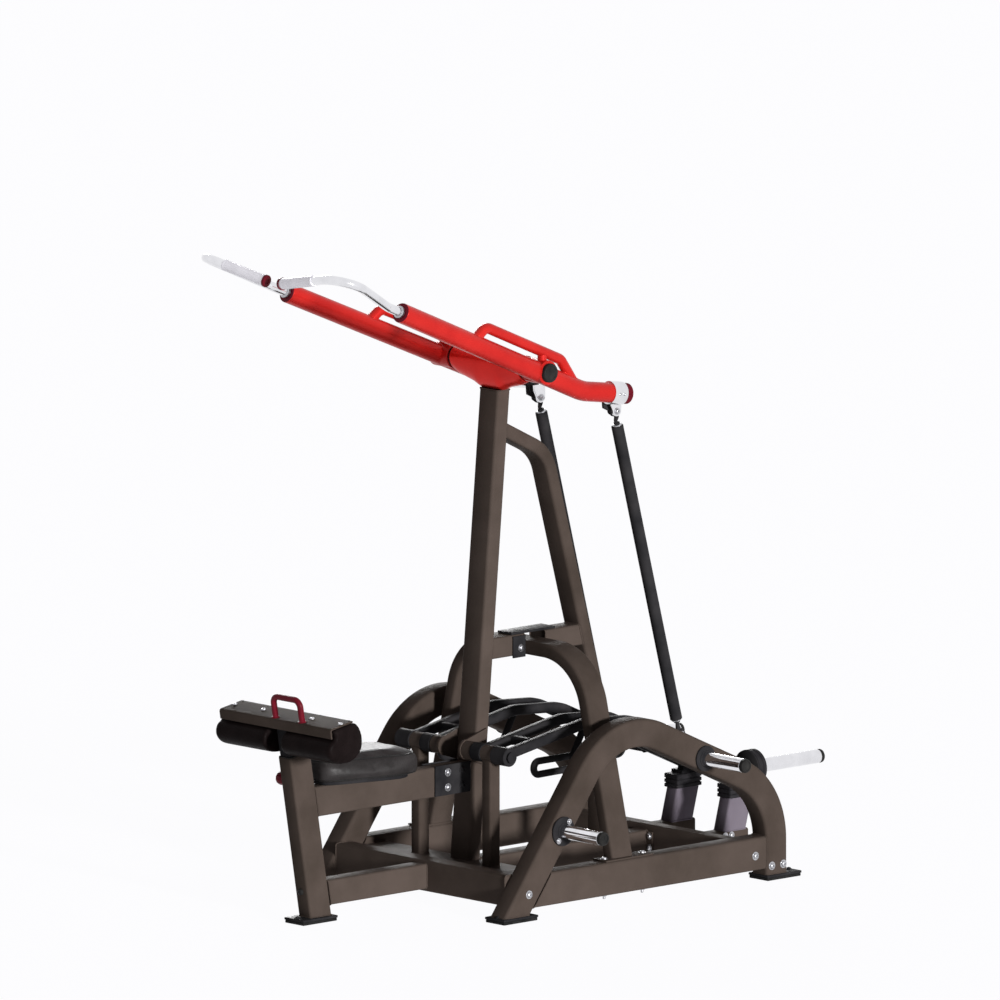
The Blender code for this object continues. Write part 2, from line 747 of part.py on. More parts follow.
def make_clamp(name, side, axis):
    """Split ring round the arm's tail with a lug and the upper pin of the push rod."""
    middle = arm_point(clamp_y, side)
    way = (arm_point(clamp_y + 0.05, side) - middle).normalized()
    outer = arm_radius + clamp_thick
    ring = bar(middle - way * clamp_width / 2, middle + way * clamp_width / 2, outer, 24)
    pin = yz(rod_top)
    lug_x = side * (rod_x + eye_thick / 2 + gap)
    lug_out = lug_x + side * lug_thick
    low_x = min(lug_x, lug_out)
    high_x = max(lug_x, lug_out)
    lug_low = rod_top.y - 0.018
    lug = block((low_x, rod_top.x - 0.034, lug_low), (high_x, rod_top.x + 0.020, middle.z - arm_radius * 0.5))
    ring = combine(ring, lug)
    bore = bar(middle - way * 0.1, middle + way * 0.1, arm_radius + gap, 20)
    ring = combine(ring, bore, "DIFFERENCE")
    pin_start = Vector((lug_out + side * 0.006, pin.y, pin.z))
    pin_end = Vector((side * (rod_x - eye_thick / 2 - 0.006), pin.y, pin.z))
    place(f"rod_clamp_{name}", combine(ring, bar(pin_start, pin_end, pin_radius, 12)), "steel", axis)


def make_rod(name, side):
    axis = axis_empty(f"rod_{name}_pivot", yz(rod_top))
    top = yz(rod_top, side * rod_x)
    foot = yz(rod_foot, side * rod_x)
    way = (foot - top).normalized()
    barrel_profile = [(0.050, rod_neck), (0.052, rod_radius * 0.8), (0.056, rod_radius),
                      ((foot - top).length - 0.056, rod_radius), ((foot - top).length - 0.052, rod_radius * 0.8),
                      ((foot - top).length - 0.050, rod_neck)]
    neck = [(0.012, rod_neck)] + barrel_profile + [((foot - top).length - 0.014, rod_neck)]
    rod = turned(top, way, neck, 18)
    for point, hole in ((top, pin_radius + pin_play), (foot, pin_radius + foot_play)):
        eye = bar(point - x_axis * eye_thick / 2, point + x_axis * eye_thick / 2, eye_radius, 20)
        rod = combine(rod, eye)
        drill = bar(point - x_axis * 0.05, point + x_axis * 0.05, hole, 16)
        rod = combine(rod, drill, "DIFFERENCE")
    place(f"push_rod_{name}", rod, "black_steel", axis)


def lever_path_z(y):
    """Centre height of the lever's side rails at a distance along the machine."""
    start = Vector((lever_y, lever_z))
    for end in (lever_crest, lever_drop, lever_tail):
        if y <= end.x or end is lever_tail:
            return start.y + (end.y - start.y) * (y - start.x) / (end.x - start.x)
        start = end


def make_lever(name, side):
    axis = axis_empty(f"lever_{name}_pivot", Vector((0, lever_y, lever_z)))
    tube = rectangle(lever_tube, lever_tube, 0.008)
    parts = []
    ends = {rail_inner_x: lever_rest_y, rail_outer_x: lever_tail.x}
    for x, end_y in ends.items():
        stations = (lever_y, lever_crest.x, lever_drop.x, end_y)
        corners = [Vector((side * x, y, lever_path_z(y))) for y in stations]
        parts.append(sweep(rounded_path(corners, 0.20, radians(8)), tube, x_axis))
        hub_middle = Vector((side * x, lever_y, lever_z))
        half = lever_tube / 2
        parts.append(bar(hub_middle - x_axis * half, hub_middle + x_axis * half, lever_hub, 20))
    for y, drop in ((lever_y + 0.150, 0), (rod_foot.x, lever_sink)):
        z = lever_path_z(y) - drop
        path = [Vector((side * rail_inner_x, y, z)), Vector((side * rail_outer_x, y, z))]
        parts.append(sweep(path, rectangle(lever_tube * 0.9, lever_tube * 0.9, 0.006), y_axis))
    y = lever_tail.x
    path = [Vector((side * rail_inner_x, y, lever_path_z(y))), Vector((side * horn_x, y, lever_path_z(y)))]
    parts.append(sweep(path, rectangle(lever_tube, lever_tube, 0.006), y_axis))
    flange_rear = horn_y
    neck_start = Vector((side * horn_x, y, horn_z))
    parts.append(bar(neck_start, Vector((side * horn_x, flange_rear - 0.002, horn_z)), 0.030, 20))
    parts.append(bar(Vector((side * horn_x, flange_rear - flange_thick, horn_z)),
                     Vector((side * horn_x, flange_rear, horn_z)), flange_radius, 28))
    rest_z = stop_top() + gap
    low = (side * stop_x - 0.028, lever_rest_y - 0.045, rest_z)
    high = (side * stop_x + 0.028, lever_rest_y + 0.025, rest_z + 0.012)
    parts.append(block(low, high))
    shank_z = lever_path_z(lever_rest_y - 0.030)
    parts.append(block((side * rail_inner_x - 0.015, lever_rest_y - 0.040, rest_z + 0.004),
                       (side * rail_inner_x + 0.015, lever_rest_y - 0.008, shank_z)))
    lug_x = side * (rod_x + eye_thick / 2 + gap)
    lug_out = lug_x + side * lug_thick
    lug_low = lever_path_z(rod_foot.x) - lever_sink
    parts.append(block((min(lug_x, lug_out), rod_foot.x - 0.016, lug_low),
                       (max(lug_x, lug_out), rod_foot.x + 0.016, rod_foot.y + 0.016)))
    parts.append(bar((lug_out + side * 0.005, rod_foot.x, rod_foot.y),
                     (side * (rod_x - eye_thick / 2 - 0.005), rod_foot.x, rod_foot.y), pin_radius, 12))
    lever = weld(*parts)
    bore = bar((side * 0.05, lever_y, lever_z), (side * 0.40, lever_y, lever_z), lever_shaft + gap, 18)
    place(f"lever_{name}", combine(lever, bore, "DIFFERENCE"), "black_steel", axis)
    make_horn(f"plate_horn_{name}", Vector((side * horn_x, horn_y + gap, horn_z)), y_axis, horn_length, axis)


def make_horn(name, start, way, length, axis):
    profile = [(0, horn_radius), (length - 0.004, horn_radius), (length, horn_radius * 0.85)]
    place(name, turned(start, way, profile, 24), "chrome", axis)


def make_lever_supports():
    for name, side in sides.items():
        x = side * (rail_inner_x + rail_outer_x) / 2
        inner = rail_inner_x + lever_tube / 2 + 0.001
        outer = rail_outer_x - lever_tube / 2 - 0.001
        half = min(lever_post / 2, (outer - inner) / 2)
        low_z = spine_high + gap
        post = sweep([Vector((x, lever_y, low_z)), Vector((x, lever_y, lever_z + 0.012))],
                     rectangle(2 * half, lever_post), x_axis)
        hub = bar((side * inner, lever_y, lever_z), (side * outer, lever_y, lever_z), lever_hub, 20)
        post = combine(post, hub)
        bore = bar((x - 0.2, lever_y, lever_z), (x + 0.2, lever_y, lever_z), lever_shaft + gap, 18)
        place(f"lever_post_{name}", combine(post, bore, "DIFFERENCE"), "frame_paint")
        start = Vector((side * (rail_inner_x - lever_tube / 2 - 0.006), lever_y, lever_z))
        length = rail_outer_x - rail_inner_x + lever_tube + 0.012
        profile = [(0, 0.020), (0.0055, 0.020), (0.0055, lever_shaft), (length - 0.0055, lever_shaft),
                   (length - 0.0055, 0.020), (length, 0.020)]
        place(f"lever_shaft_{name}", turned(start, x_axis * side, profile, 20), "steel")


def stop_top():
    return stop_head + gap + stop_cap_height


def make_stops():
    shift = (stop_head - stop_shelf) * tan(stop_lean)
    for name, side in sides.items():
        x = side * stop_x
        start = Vector((x, rear_cross_y + rear_cross_width / 2 + gap, (stop_low + stop_shelf) / 2))
        end = Vector((x, stop_y + stop_depth / 2 + 0.010, start.z))
        shelf = sweep([start, end], rectangle(stop_width, stop_shelf - stop_low), x_axis)
        foot = Vector((x, stop_y, stop_shelf - 0.020))
        head = Vector((x, stop_y + shift, stop_head))
        post = sweep([foot, head], rectangle(stop_width * 0.98, stop_depth), x_axis, start_cut=z_axis, end_cut=z_axis)
        place(f"stop_post_{name}", combine(shelf, post), "frame_paint")
        low = (x - 0.036, head.y - stop_depth / 2 - 0.008, stop_head + gap)
        high = (x + 0.036, head.y + stop_depth / 2 + 0.008, stop_top())
        place(f"stop_cap_{name}", block(low, high, 0.005), "rubber")


def make_storage():
    for name, side in sides.items():
        for end_name, spot in (("front", store_front), ("rear", store_rear)):
            face = Vector((side * (half_track + side_tube / 2 + gap), spot.x, spot.y))
            way = x_axis * side
            profile = [(0, store_flange), (store_flange_thick, store_flange), (store_flange_thick, horn_radius),
                       (store_length, horn_radius), (store_length + 0.004, horn_radius * 0.9)]
            place(f"storage_horn_{name}_{end_name}", turned(face, way, profile, 24), "chrome")


def centre_on_floor():
    """Moves everything so that the origin lies on the floor under the middle of the machine."""
    bpy.context.view_layer.update()
    corners = []
    for thing in bpy.data.objects:
        if thing.type == "MESH":
            corners += [(thing.matrix_world @ vert.co).y for vert in thing.data.vertices]
    middle = (min(corners) + max(corners)) / 2
    for thing in bpy.data.objects:
        if thing.parent is None:
            thing.location.y -= middle
    print("moved along Y by", round(-middle, 5))


clear_scene()
make_side_frames()
make_base()
make_tower()
post_way, post_face, post_end = make_seat_end()
make_seat()
make_thigh_pad(post_way, post_face, post_end)
make_pivot_head()
for side_name, side_sign in sides.items():
    make_arm(side_name, side_sign)
    make_rod(side_name, side_sign)
    make_lever(side_name, side_sign)
make_lever_supports()
make_stops()
make_storage()
centre_on_floor()
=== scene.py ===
from math import ceil, cos, pi, radians, sin, tan

import bmesh
import bpy
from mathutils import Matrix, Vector


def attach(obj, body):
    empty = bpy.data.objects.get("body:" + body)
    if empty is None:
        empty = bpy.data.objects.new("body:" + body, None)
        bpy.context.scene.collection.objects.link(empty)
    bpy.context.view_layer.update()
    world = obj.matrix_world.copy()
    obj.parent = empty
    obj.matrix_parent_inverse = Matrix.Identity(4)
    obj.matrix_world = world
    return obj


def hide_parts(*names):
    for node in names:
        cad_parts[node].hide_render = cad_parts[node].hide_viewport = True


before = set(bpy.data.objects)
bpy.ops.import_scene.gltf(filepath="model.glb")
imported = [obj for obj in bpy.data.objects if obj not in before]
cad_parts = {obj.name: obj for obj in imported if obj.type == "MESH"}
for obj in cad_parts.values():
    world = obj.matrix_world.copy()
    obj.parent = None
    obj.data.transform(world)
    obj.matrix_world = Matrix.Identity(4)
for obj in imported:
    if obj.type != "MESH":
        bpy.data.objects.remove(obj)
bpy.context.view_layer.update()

floorShift = -0.94789   # foot of the front post to the middle of the machine, along Y
meetGap = 0.0003        # left between pieces that touch
xAxis = Vector((1, 0, 0))
yAxis = Vector((0, 1, 0))
zAxis = Vector((0, 0, 1))
sides = {"right": 1, "left": -1}


def at(x, y, z):
    return Vector((x, y + floorShift, z))


# Materials: every finish starts from a Principled shader and gets its own nodes

def fill(tree, socket, value):
    if isinstance(value, bpy.types.NodeSocket):
        tree.links.new(value, socket)
    else:
        socket.default_value = (*value, 1) if isinstance(value, tuple) else value


def addNode(tree, kind, output, inputs=None, **settings):
    node = tree.nodes.new("ShaderNode" + kind)
    for setting, value in settings.items():
        setattr(node, setting, value)
    for socket, value in (inputs or {}).items():
        fill(tree, node.inputs[socket], value)
    return node.outputs[output]


def newFinish(name, colour, roughness, metal=0.0, gloss=0.5):
    material = bpy.data.materials.new(name)
    material.use_nodes = True
    tree = material.node_tree
    shader = tree.nodes["Principled BSDF"]
    values = {"Base Color": colour, "Roughness": roughness, "Metallic": metal, "Specular IOR Level": gloss}
    for socket, value in values.items():
        fill(tree, shader.inputs[socket], value)
    return material, tree, shader, addNode(tree, "TexCoord", "Object")


def addNoise(tree, place, scale, detail=3.0, roughness=0.5):
    return addNode(tree, "TexNoise", "Fac", {"Vector": place, "Scale": scale, "Detail": detail,
                                             "Roughness": roughness})


def addCells(tree, place, scale, feature="F1"):
    return addNode(tree, "TexVoronoi", "Distance", {"Vector": place, "Scale": scale}, feature=feature)


def addRange(tree, value, fromLow, fromHigh, low, high):
    span = {"Value": value, "From Min": fromLow, "From Max": fromHigh, "To Min": low, "To Max": high}
    return addNode(tree, "MapRange", "Result", span)


def addMix(tree, factor, first, second):
    return addNode(tree, "Mix", 2, {0: factor, 6: first, 7: second}, data_type="RGBA")


def addMath(tree, operation, first, second):
    return addNode(tree, "Math", 0, {0: first, 1: second}, operation=operation)


def addBump(tree, shader, height, strength, distance, onTop=None):
    inputs = {"Height": height, "Strength": strength, "Distance": distance}
    if onTop:
        inputs["Normal"] = onTop
    normal = addNode(tree, "Bump", "Normal", inputs)
    fill(tree, shader.inputs["Normal"], normal)
    return normal


def addEdgeWear(tree, colour, wear, share, worn):
    edges = addRange(tree, addNode(tree, "NewGeometry", "Pointiness"), *wear, 0, 1)
    return addMix(tree, addMath(tree, "MULTIPLY", edges, share), colour, worn)


def addSettledDust(tree, place, colour, amount):
    up = addNode(tree, "SeparateXYZ", "Z", {"Vector": addNode(tree, "NewGeometry", "Normal")})
    facing = addRange(tree, up, 0.55, 1.0, 0, amount)
    patches = addRange(tree, addNoise(tree, place, 14, 5, 0.6), 0.35, 0.70, 0.35, 1)
    return addMix(tree, addMath(tree, "MULTIPLY", facing, patches), colour, paintLook["dustColour"])


def addSmears(tree, shader, place, noise, span, roughness):
    fill(tree, shader.inputs["Roughness"], addRange(tree, addNoise(tree, place, *noise), *span, *roughness))


def lighter(colour, times, lift):
    return tuple(min(1, c * times + lift) for c in colour)


paintLook = dict(
    frame=dict(dark=(0.052, 0.0395, 0.0325), light=(0.084, 0.0640, 0.0545), roughness=(0.42, 0.54),
               dust=0.03, gloss=0.006, metal=0.0),
    # Stop posts: a greyer blue paint, made lighter than the frame's to paint in the light that the arch shades off
    # them
    stop=dict(dark=(0.120, 0.102, 0.125), light=(0.165, 0.143, 0.172), roughness=(0.42, 0.54),
              dust=0.03, gloss=0.006, metal=0.0),
    arm=dict(dark=(0.460, 0.011, 0.010), light=(0.620, 0.022, 0.017), roughness=(0.26, 0.38),
             dust=0.02, gloss=0.12, metal=0.22),
    # Pivot head: the arms' red made brighter and more metallic, a lit copy that paints light onto its shaded
    # underside
    head=dict(dark=(0.620, 0.013, 0.009), light=(0.800, 0.022, 0.016), roughness=(0.26, 0.38),
              dust=0.02, gloss=0.12, metal=0.50),
    dustColour=(0.200, 0.175, 0.150), patches=(5.5, 4, 0.55), flecks=(1900, 1, 0.4), fleckShare=0.35,
    wear=(0.560, 0.640), wearShare=0.25, smears=(26, 6, 0.62), peel=(520, 2, 0.45), peelStrength=0.22,
    peelHeight=0.00025,
)


def makePaint(name, dark, light, roughness, dust, gloss, metal):
    look = paintLook
    material, tree, shader, place = newFinish(name, light, roughness[0], metal, gloss)
    patches = addRange(tree, addNoise(tree, place, *look["patches"]), 0.30, 0.70, 0, 1)
    colour = addMix(tree, patches, dark, light)
    flecks = addRange(tree, addNoise(tree, place, *look["flecks"]), 0.60, 0.74, 0, look["fleckShare"])
    colour = addMix(tree, flecks, colour, lighter(light, 1.7, 0.01))
    colour = addEdgeWear(tree, colour, look["wear"], look["wearShare"], lighter(light, 2.0, 0.02))
    fill(tree, shader.inputs["Base Color"], addSettledDust(tree, place, colour, dust))
    addSmears(tree, shader, place, look["smears"], (0.25, 0.75), roughness)
    addBump(tree, shader, addNoise(tree, place, *look["peel"]), look["peelStrength"], look["peelHeight"])
    return material


framePaint, stopPaintLit, armPaint, headPaintLit = (
    makePaint(kind + "Paint", **paintLook[kind]) for kind in ("frame", "stop", "arm", "head"))

metalLook = dict(
    # chromeShade is the colour of painted dark reflection streaks in the chrome
    chrome=(0.80, 0.80, 0.82), chromeShade=(0.30, 0.30, 0.33), chromeRoughness=(0.06, 0.19),
    zinc=(0.52, 0.52, 0.54), zincShade=(0.34, 0.34, 0.36), zincRoughness=(0.22, 0.42), zincGrain=260,
    black=(0.016, 0.016, 0.018), blackLight=(0.040, 0.038, 0.040), blackRoughness=(0.30, 0.46), blackGloss=0.006,
    blackDust=0.04,
)


def makeChrome():
    look = metalLook
    material, tree, shader, place = newFinish("polishedChrome", look["chrome"], 0.10, 1.0)
    # Darker clouds in the chrome's colour are painted dark reflection streaks
    shade = addRange(tree, addNoise(tree, place, 18, 4, 0.6), 0.35, 0.75, 0.0, 0.22)
    fill(tree, shader.inputs["Base Color"], addMix(tree, shade, look["chrome"], look["chromeShade"]))
    addSmears(tree, shader, place, (70, 6, 0.65), (0.30, 0.80), look["chromeRoughness"])
    addBump(tree, shader, addNoise(tree, place, 900, 2, 0.5), 0.05, 0.00008)
    return material


def makeZinc():
    look = metalLook
    material, tree, shader, place = newFinish("platedSteel", look["zinc"], 0.30, 1.0)
    mottle = addRange(tree, addCells(tree, place, look["zincGrain"]), 0.1, 0.7, 0, 1)
    fill(tree, shader.inputs["Base Color"], addMix(tree, mottle, look["zincShade"], look["zinc"]))
    addSmears(tree, shader, place, (120, 5, 0.6), (0.3, 0.75), look["zincRoughness"])
    addBump(tree, shader, addNoise(tree, place, 700, 3, 0.5), 0.12, 0.00015)
    return material


def makeBlackSteel():
    look = metalLook
    material, tree, shader, place = newFinish("satinBlackSteel", look["black"], 0.36, 0.0, look["blackGloss"])
    patches = addRange(tree, addNoise(tree, place, 9, 4, 0.55), 0.3, 0.7, 0, 1)
    colour = addMix(tree, patches, look["black"], look["blackLight"])
    fill(tree, shader.inputs["Base Color"], addSettledDust(tree, place, colour, look["blackDust"]))
    addSmears(tree, shader, place, (48, 6, 0.6), (0.3, 0.7), look["blackRoughness"])
    addBump(tree, shader, addNoise(tree, place, 640, 2, 0.5), 0.25, 0.00025)
    return material


mouldedLook = dict(
    blackRubber=dict(dark=(0.010, 0.010, 0.010), light=(0.026, 0.025, 0.025), roughness=(0.55, 0.75),
                     grainScale=900, grainHeight=0.0003),
    stopRubber=dict(dark=(0.014, 0.013, 0.015), light=(0.034, 0.032, 0.035), roughness=(0.45, 0.62),
                    grainScale=700, grainHeight=0.0003),
    blackPlastic=dict(dark=(0.012, 0.012, 0.012), light=(0.030, 0.029, 0.028), roughness=(0.32, 0.46),
                      grainScale=1100, grainHeight=0.0002),
    redPlastic=dict(dark=(0.110, 0.004, 0.012), light=(0.190, 0.008, 0.020), roughness=(0.30, 0.42),
                    grainScale=900, grainHeight=0.0001, gloss=0.1),
    gripVinyl=dict(dark=(0.760, 0.745, 0.790), light=(0.860, 0.845, 0.890), roughness=(0.44, 0.58),
                   grainScale=480, grainHeight=0.0003, gloss=0.15, metal=0.60),
)


def makeMoulded(name, dark, light, roughness, grainScale, grainHeight, gloss=0.04, metal=0.0):
    material, tree, shader, place = newFinish(name, light, roughness[0], metal, gloss)
    patches = addRange(tree, addNoise(tree, place, 22, 5, 0.6), 0.3, 0.7, 0, 1)
    colour = addMix(tree, patches, dark, light)
    fill(tree, shader.inputs["Base Color"], addEdgeWear(tree, colour, (0.555, 0.640), 0.2,
                                                        lighter(light, 1.8, 0.02)))
    addSmears(tree, shader, place, (60, 5, 0.6), (0.3, 0.7), roughness)
    addBump(tree, shader, addNoise(tree, place, grainScale, 3, 0.55), 0.4, grainHeight)
    return material


polishedChrome = makeChrome()
platedSteel = makeZinc()
blackSteel = makeBlackSteel()
blackRubber, stopRubber, blackPlastic, redPlastic, gripVinyl = (
    makeMoulded(name, **values) for name, values in mouldedLook.items())

vinylLook = dict(
    seat=dict(dark=(0.014, 0.012, 0.012), light=(0.034, 0.030, 0.030)),
    roll=dict(dark=(0.0055, 0.0035, 0.0035), light=(0.0125, 0.0085, 0.0085), gloss=0.02),
    piping=dict(dark=(0.008, 0.008, 0.008), light=(0.020, 0.019, 0.019)),
    grainScale=330, grainHeight=0.0004, creaseScale=34, creaseHeight=0.0012, roughness=(0.36, 0.52),
)


def makeUpholstery(name, dark, light, gloss=0.15):
    look = vinylLook
    material, tree, shader, place = newFinish(name, light, 0.42, gloss=gloss)
    cells = addCells(tree, place, look["grainScale"], "SMOOTH_F1")
    patches = addRange(tree, addNoise(tree, place, 12, 5, 0.6), 0.3, 0.7, 0, 1)
    colour = addMix(tree, patches, dark, light)
    # The grain's valleys are darkened: painted shade in the recesses
    valleyShade = addRange(tree, cells, 0.45, 0.85, 0, 0.5)
    fill(tree, shader.inputs["Base Color"], addMix(tree, valleyShade, colour, lighter(dark, 0.45, 0)))
    addSmears(tree, shader, place, (90, 5, 0.6), (0.3, 0.7), look["roughness"])
    creases = addBump(tree, shader, addNoise(tree, place, look["creaseScale"], 4, 0.6), 0.12, look["creaseHeight"])
    addBump(tree, shader, addRange(tree, cells, 0.0, 0.9, 1, 0), 0.35, look["grainHeight"], creases)
    return material


seatVinyl, rollVinyl, pipingVinyl = (
    makeUpholstery(kind + "Vinyl", **vinylLook[kind]) for kind in ("seat", "roll", "piping"))


# Mesh tools shared by the pieces

def boxRing(width, depth, corner=0.011, steps=4):
    corner = min(corner, width * 0.48, depth * 0.48)
    ring = []
    for turn in range(4):
        across = 1 if turn in (0, 3) else -1
        along = 1 if turn in (0, 1) else -1
        for step in range(steps + 1):
            angle = pi / 2 * (turn + step / steps)
            ring.append((across * (width / 2 - corner) + corner * cos(angle),
                         along * (depth / 2 - corner) + corner * sin(angle)))
    return ring


def roundRing(radius, count=40):
    return [(radius * cos(2 * pi * i / count), radius * sin(2 * pi * i / count)) for i in range(count)]


def crossAxes(way):
    across = way.orthogonal().normalized()
    return across, way.cross(across)


def ringAt(centre, across, other, count, reach):
    angles = [2 * pi * k / count for k in range(count)]
    return [centre + (across * cos(a) + other * sin(a)) * (reach(a) if callable(reach) else reach) for a in angles]


def hexShare(angle):
    return cos(pi / 6) / cos((angle % (pi / 3)) - pi / 6)


def bentPath(points, radius, stepDegrees=3):
    path = [points[0]]
    for before, corner, after in zip(points, points[1:], points[2:]):
        inward = (before - corner).normalized()
        onward = (after - corner).normalized()
        turn = pi - inward.angle(onward)
        reach = radius * tan(turn / 2)
        centre = corner + (inward + onward).normalized() * (radius / cos(turn / 2))
        start = corner + inward * reach - centre
        end = corner + onward * reach - centre
        count = max(2, ceil(turn / radians(stepDegrees)))
        for i in range(count + 1):
            share = i / count
            blend = (start * sin((1 - share) * turn) + end * sin(share * turn)) / sin(turn)
            path.append(centre + blend)
    path.append(points[-1])
    return path


def between(before, start, end, after, t):
    # Catmull-Rom blend
    return (2 * start + (end - before) * t + (2 * before - 5 * start + 4 * end - after) * t * t
            + (3 * start - before - 3 * end + after) * t * t * t) / 2


def curvePath(points, steps=6):
    path = []
    last = len(points) - 1
    for i in range(last):
        four = points[max(0, i - 1)], points[i], points[i + 1], points[min(last, i + 2)]
        path += [between(*four, step / steps) for step in range(steps)]
    path.append(points[-1])
    return path


def smoothRing(points, steps):
    ring = []
    count = len(points)
    for i in range(count):
        four = [Vector(points[(i + k) % count]) for k in (-1, 0, 1, 2)]
        ring += [between(*four, step / steps) for step in range(steps)]
    return ring


def sweepRings(path, ring, side=None, startCut=None, endCut=None, scales=None):
    rings = []
    across = side
    for i, point in enumerate(path):
        before = (point - path[i - 1]).normalized() if i else (path[1] - point).normalized()
        after = (path[i + 1] - point).normalized() if i + 1 < len(path) else before
        tangent = (before + after).normalized()
        if side is None:
            if across is None:
                across = tangent.orthogonal().normalized()
            across = (across - tangent * across.dot(tangent)).normalized()
        normal = tangent.cross(across).normalized()
        lean = before - after
        stretch = 1 / max(0.3, cos(before.angle(after) / 2)) if i else 1
        size = scales[i] if scales else 1
        corners = []
        for a, b in ring:
            offset = (across * a + normal * b) * size
            if lean.length > 1e-6:
                offset = offset + lean.normalized() * offset.dot(lean.normalized()) * (stretch - 1)
            corners.append(point + offset)
        cut = startCut if i == 0 else endCut if i + 1 == len(path) else None
        if cut is not None:
            corners = [c + tangent * ((point - c).dot(cut) / tangent.dot(cut)) for c in corners]
        rings.append(corners)
    return rings


def turnedRings(start, way, profile, count=48):
    way = way.normalized()
    axes = crossAxes(way)
    return [ringAt(start + way * distance, *axes, count, max(radius, 1e-5)) for distance, radius in profile]


def loftRings(mesh, rings, closed=False):
    rows = [[mesh.verts.new(point) for point in ring] for ring in rings]
    pairs = list(zip(rows, rows[1:] + rows[:1])) if closed else list(zip(rows, rows[1:]))
    for one, two in pairs:
        for i in range(len(one)):
            j = (i + 1) % len(one)
            mesh.faces.new((one[i], one[j], two[j], two[i]))
    if not closed:
        mesh.faces.new(list(reversed(rows[0])))
        mesh.faces.new(rows[-1])


def softenEdges(piece, width, angle):
    edge = piece.modifiers.new("softEdge", "BEVEL")
    edge.width = width
    edge.segments = 2
    edge.limit_method = "ANGLE"
    edge.angle_limit = radians(angle)


def makePiece(name, mesh, finish, body="frame", stands=(), smooth=34, bevel=0.0):
    bmesh.ops.recalc_face_normals(mesh, faces=mesh.faces)
    data = bpy.data.meshes.new(name)
    mesh.to_mesh(data)
    mesh.free()
    data.shade_smooth()
    data.set_sharp_from_angle(angle=radians(smooth))
    data.materials.append(finish)
    piece = bpy.data.objects.new(name, data)
    bpy.context.scene.collection.objects.link(piece)
    if bevel:
        softenEdges(piece, bevel, 50)
    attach(piece, body)
    if stands:
        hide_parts(*stands)
    return piece


def makeLoft(name, rings, finish, body="frame", stands=(), closed=False, **options):
    mesh = bmesh.new()
    loftRings(mesh, rings, closed)
    return makePiece(name, mesh, finish, body, stands, **options)


def makeTurned(name, start, way, profile, finish, body="frame", stands=(), count=48, closed=False, **options):
    return makeLoft(name, turnedRings(start, way, profile, count), finish, body, stands, closed, **options)


def makeTube(name, path, ring, side=None, finish=framePaint, body="frame", stands=(),
             startCut=None, endCut=None, welds="", bevel=0.0, weldSize=None):
    rings = sweepRings(path, ring, side, startCut, endCut)
    for end, rim in (("start", rings[0]), ("end", rings[-1])):
        if end in welds:
            addWeld(rim, body, weldSize, finish)
    return makeLoft(name, rings, finish, body, stands, bevel=bevel)


def makeBlock(name, one, two, finish, body="frame", stands=(), edge=0.0015):
    mesh = bmesh.new()
    low, high = Vector([*map(min, one, two)]), Vector([*map(max, one, two)])
    bmesh.ops.create_cube(mesh, size=1.0)
    for vert in mesh.verts:
        vert.co = Vector([c * s for c, s in zip(vert.co, high - low)]) + (low + high) / 2
    bmesh.ops.bevel(mesh, geom=list(mesh.edges), offset=edge, segments=3, profile=0.5, affect="EDGES")
    return makePiece(name, mesh, finish, body, stands)


# Weld beads and fasteners are gathered per body and finish, and become pieces at the end

weldGroups = {}
boltGroups = {}
weldLook = dict(size=0.0032, ripple=0.16, spacing=0.0045, step=0.0016)
boltLook = dict(radius=0.0085, height=0.62, washerReach=1.45, washerThick=0.0019, socket=0.42)


def addWeld(ring, body="frame", size=None, finish=framePaint):
    size = size or weldLook["size"]
    mesh = weldGroups.setdefault((body, finish.name), bmesh.new())
    dense = []
    for start, end in zip(ring, ring[1:] + ring[:1]):
        count = max(1, int((end - start).length / weldLook["step"]))
        dense += [start.lerp(end, i / count) for i in range(count)]
    centre = sum(dense, Vector()) / len(dense)
    total = len(dense)
    rings = []
    travelled = 0.0
    for i, point in enumerate(dense):
        ahead = (dense[(i + 1) % total] - dense[i - 1])
        if ahead.length < 1e-7:
            continue
        ahead.normalize()
        outward = point - centre
        outward = (outward - ahead * outward.dot(ahead)).normalized()
        travelled += (point - dense[i - 1]).length
        bead = size * (1 - weldLook["ripple"] * (0.5 + 0.5 * cos(2 * pi * travelled / weldLook["spacing"])))
        rings.append(ringAt(point, outward, ahead.cross(outward), 6, bead))
    loftRings(mesh, rings, closed=True)


def addSaddleWeld(point, way, radius, axisWay, axisRadius, body, finish, size):
    # Where a round leg at the point meets the tube whose axis runs through it
    way, axisWay = way.normalized(), axisWay.normalized()
    flatWay = way - axisWay * way.dot(axisWay)
    ring = []
    for base in ringAt(Vector(), *crossAxes(way), 40, radius):
        flatBase = base - axisWay * base.dot(axisWay)
        a, b, c = flatWay.dot(flatWay), 2 * flatBase.dot(flatWay), flatBase.dot(flatBase) - axisRadius ** 2
        root = max(0.0, b * b - 4 * a * c)
        ring.append(point + base + way * ((-b + root ** 0.5) / (2 * a)))
    addWeld(ring, body, size, finish)


def addBolt(where, way, radius=boltLook["radius"], body="frame", finish=platedSteel, washer=True,
            height=boltLook["height"]):
    mesh = boltGroups.setdefault((body, finish.name), bmesh.new())
    way = way.normalized()
    thick = boltLook["washerThick"]
    if washer:
        rim = radius * boltLook["washerReach"]
        profile = ((-0.0002, rim), (thick - 0.0005, rim), (thick, rim * 0.96), (thick, radius * 0.7))
        loftRings(mesh, turnedRings(where, way, profile, 28))
    base = where + way * (thick if washer else 0.0)
    axes = crossAxes(way)
    tall = radius * height
    levels = [ringAt(base + way * (tall * share), *axes, 24, radius * size)
              for share, size in ((0, 1.0), (0.22, 1.0), (0.55, 0.93), (0.82, 0.76), (1.0, 0.50))]
    levels += [ringAt(base + way * (tall * share), *axes, 24,
                      lambda angle: radius * boltLook["socket"] * hexShare(angle))
               for share in (0.98, 0.30)]
    loftRings(mesh, levels)


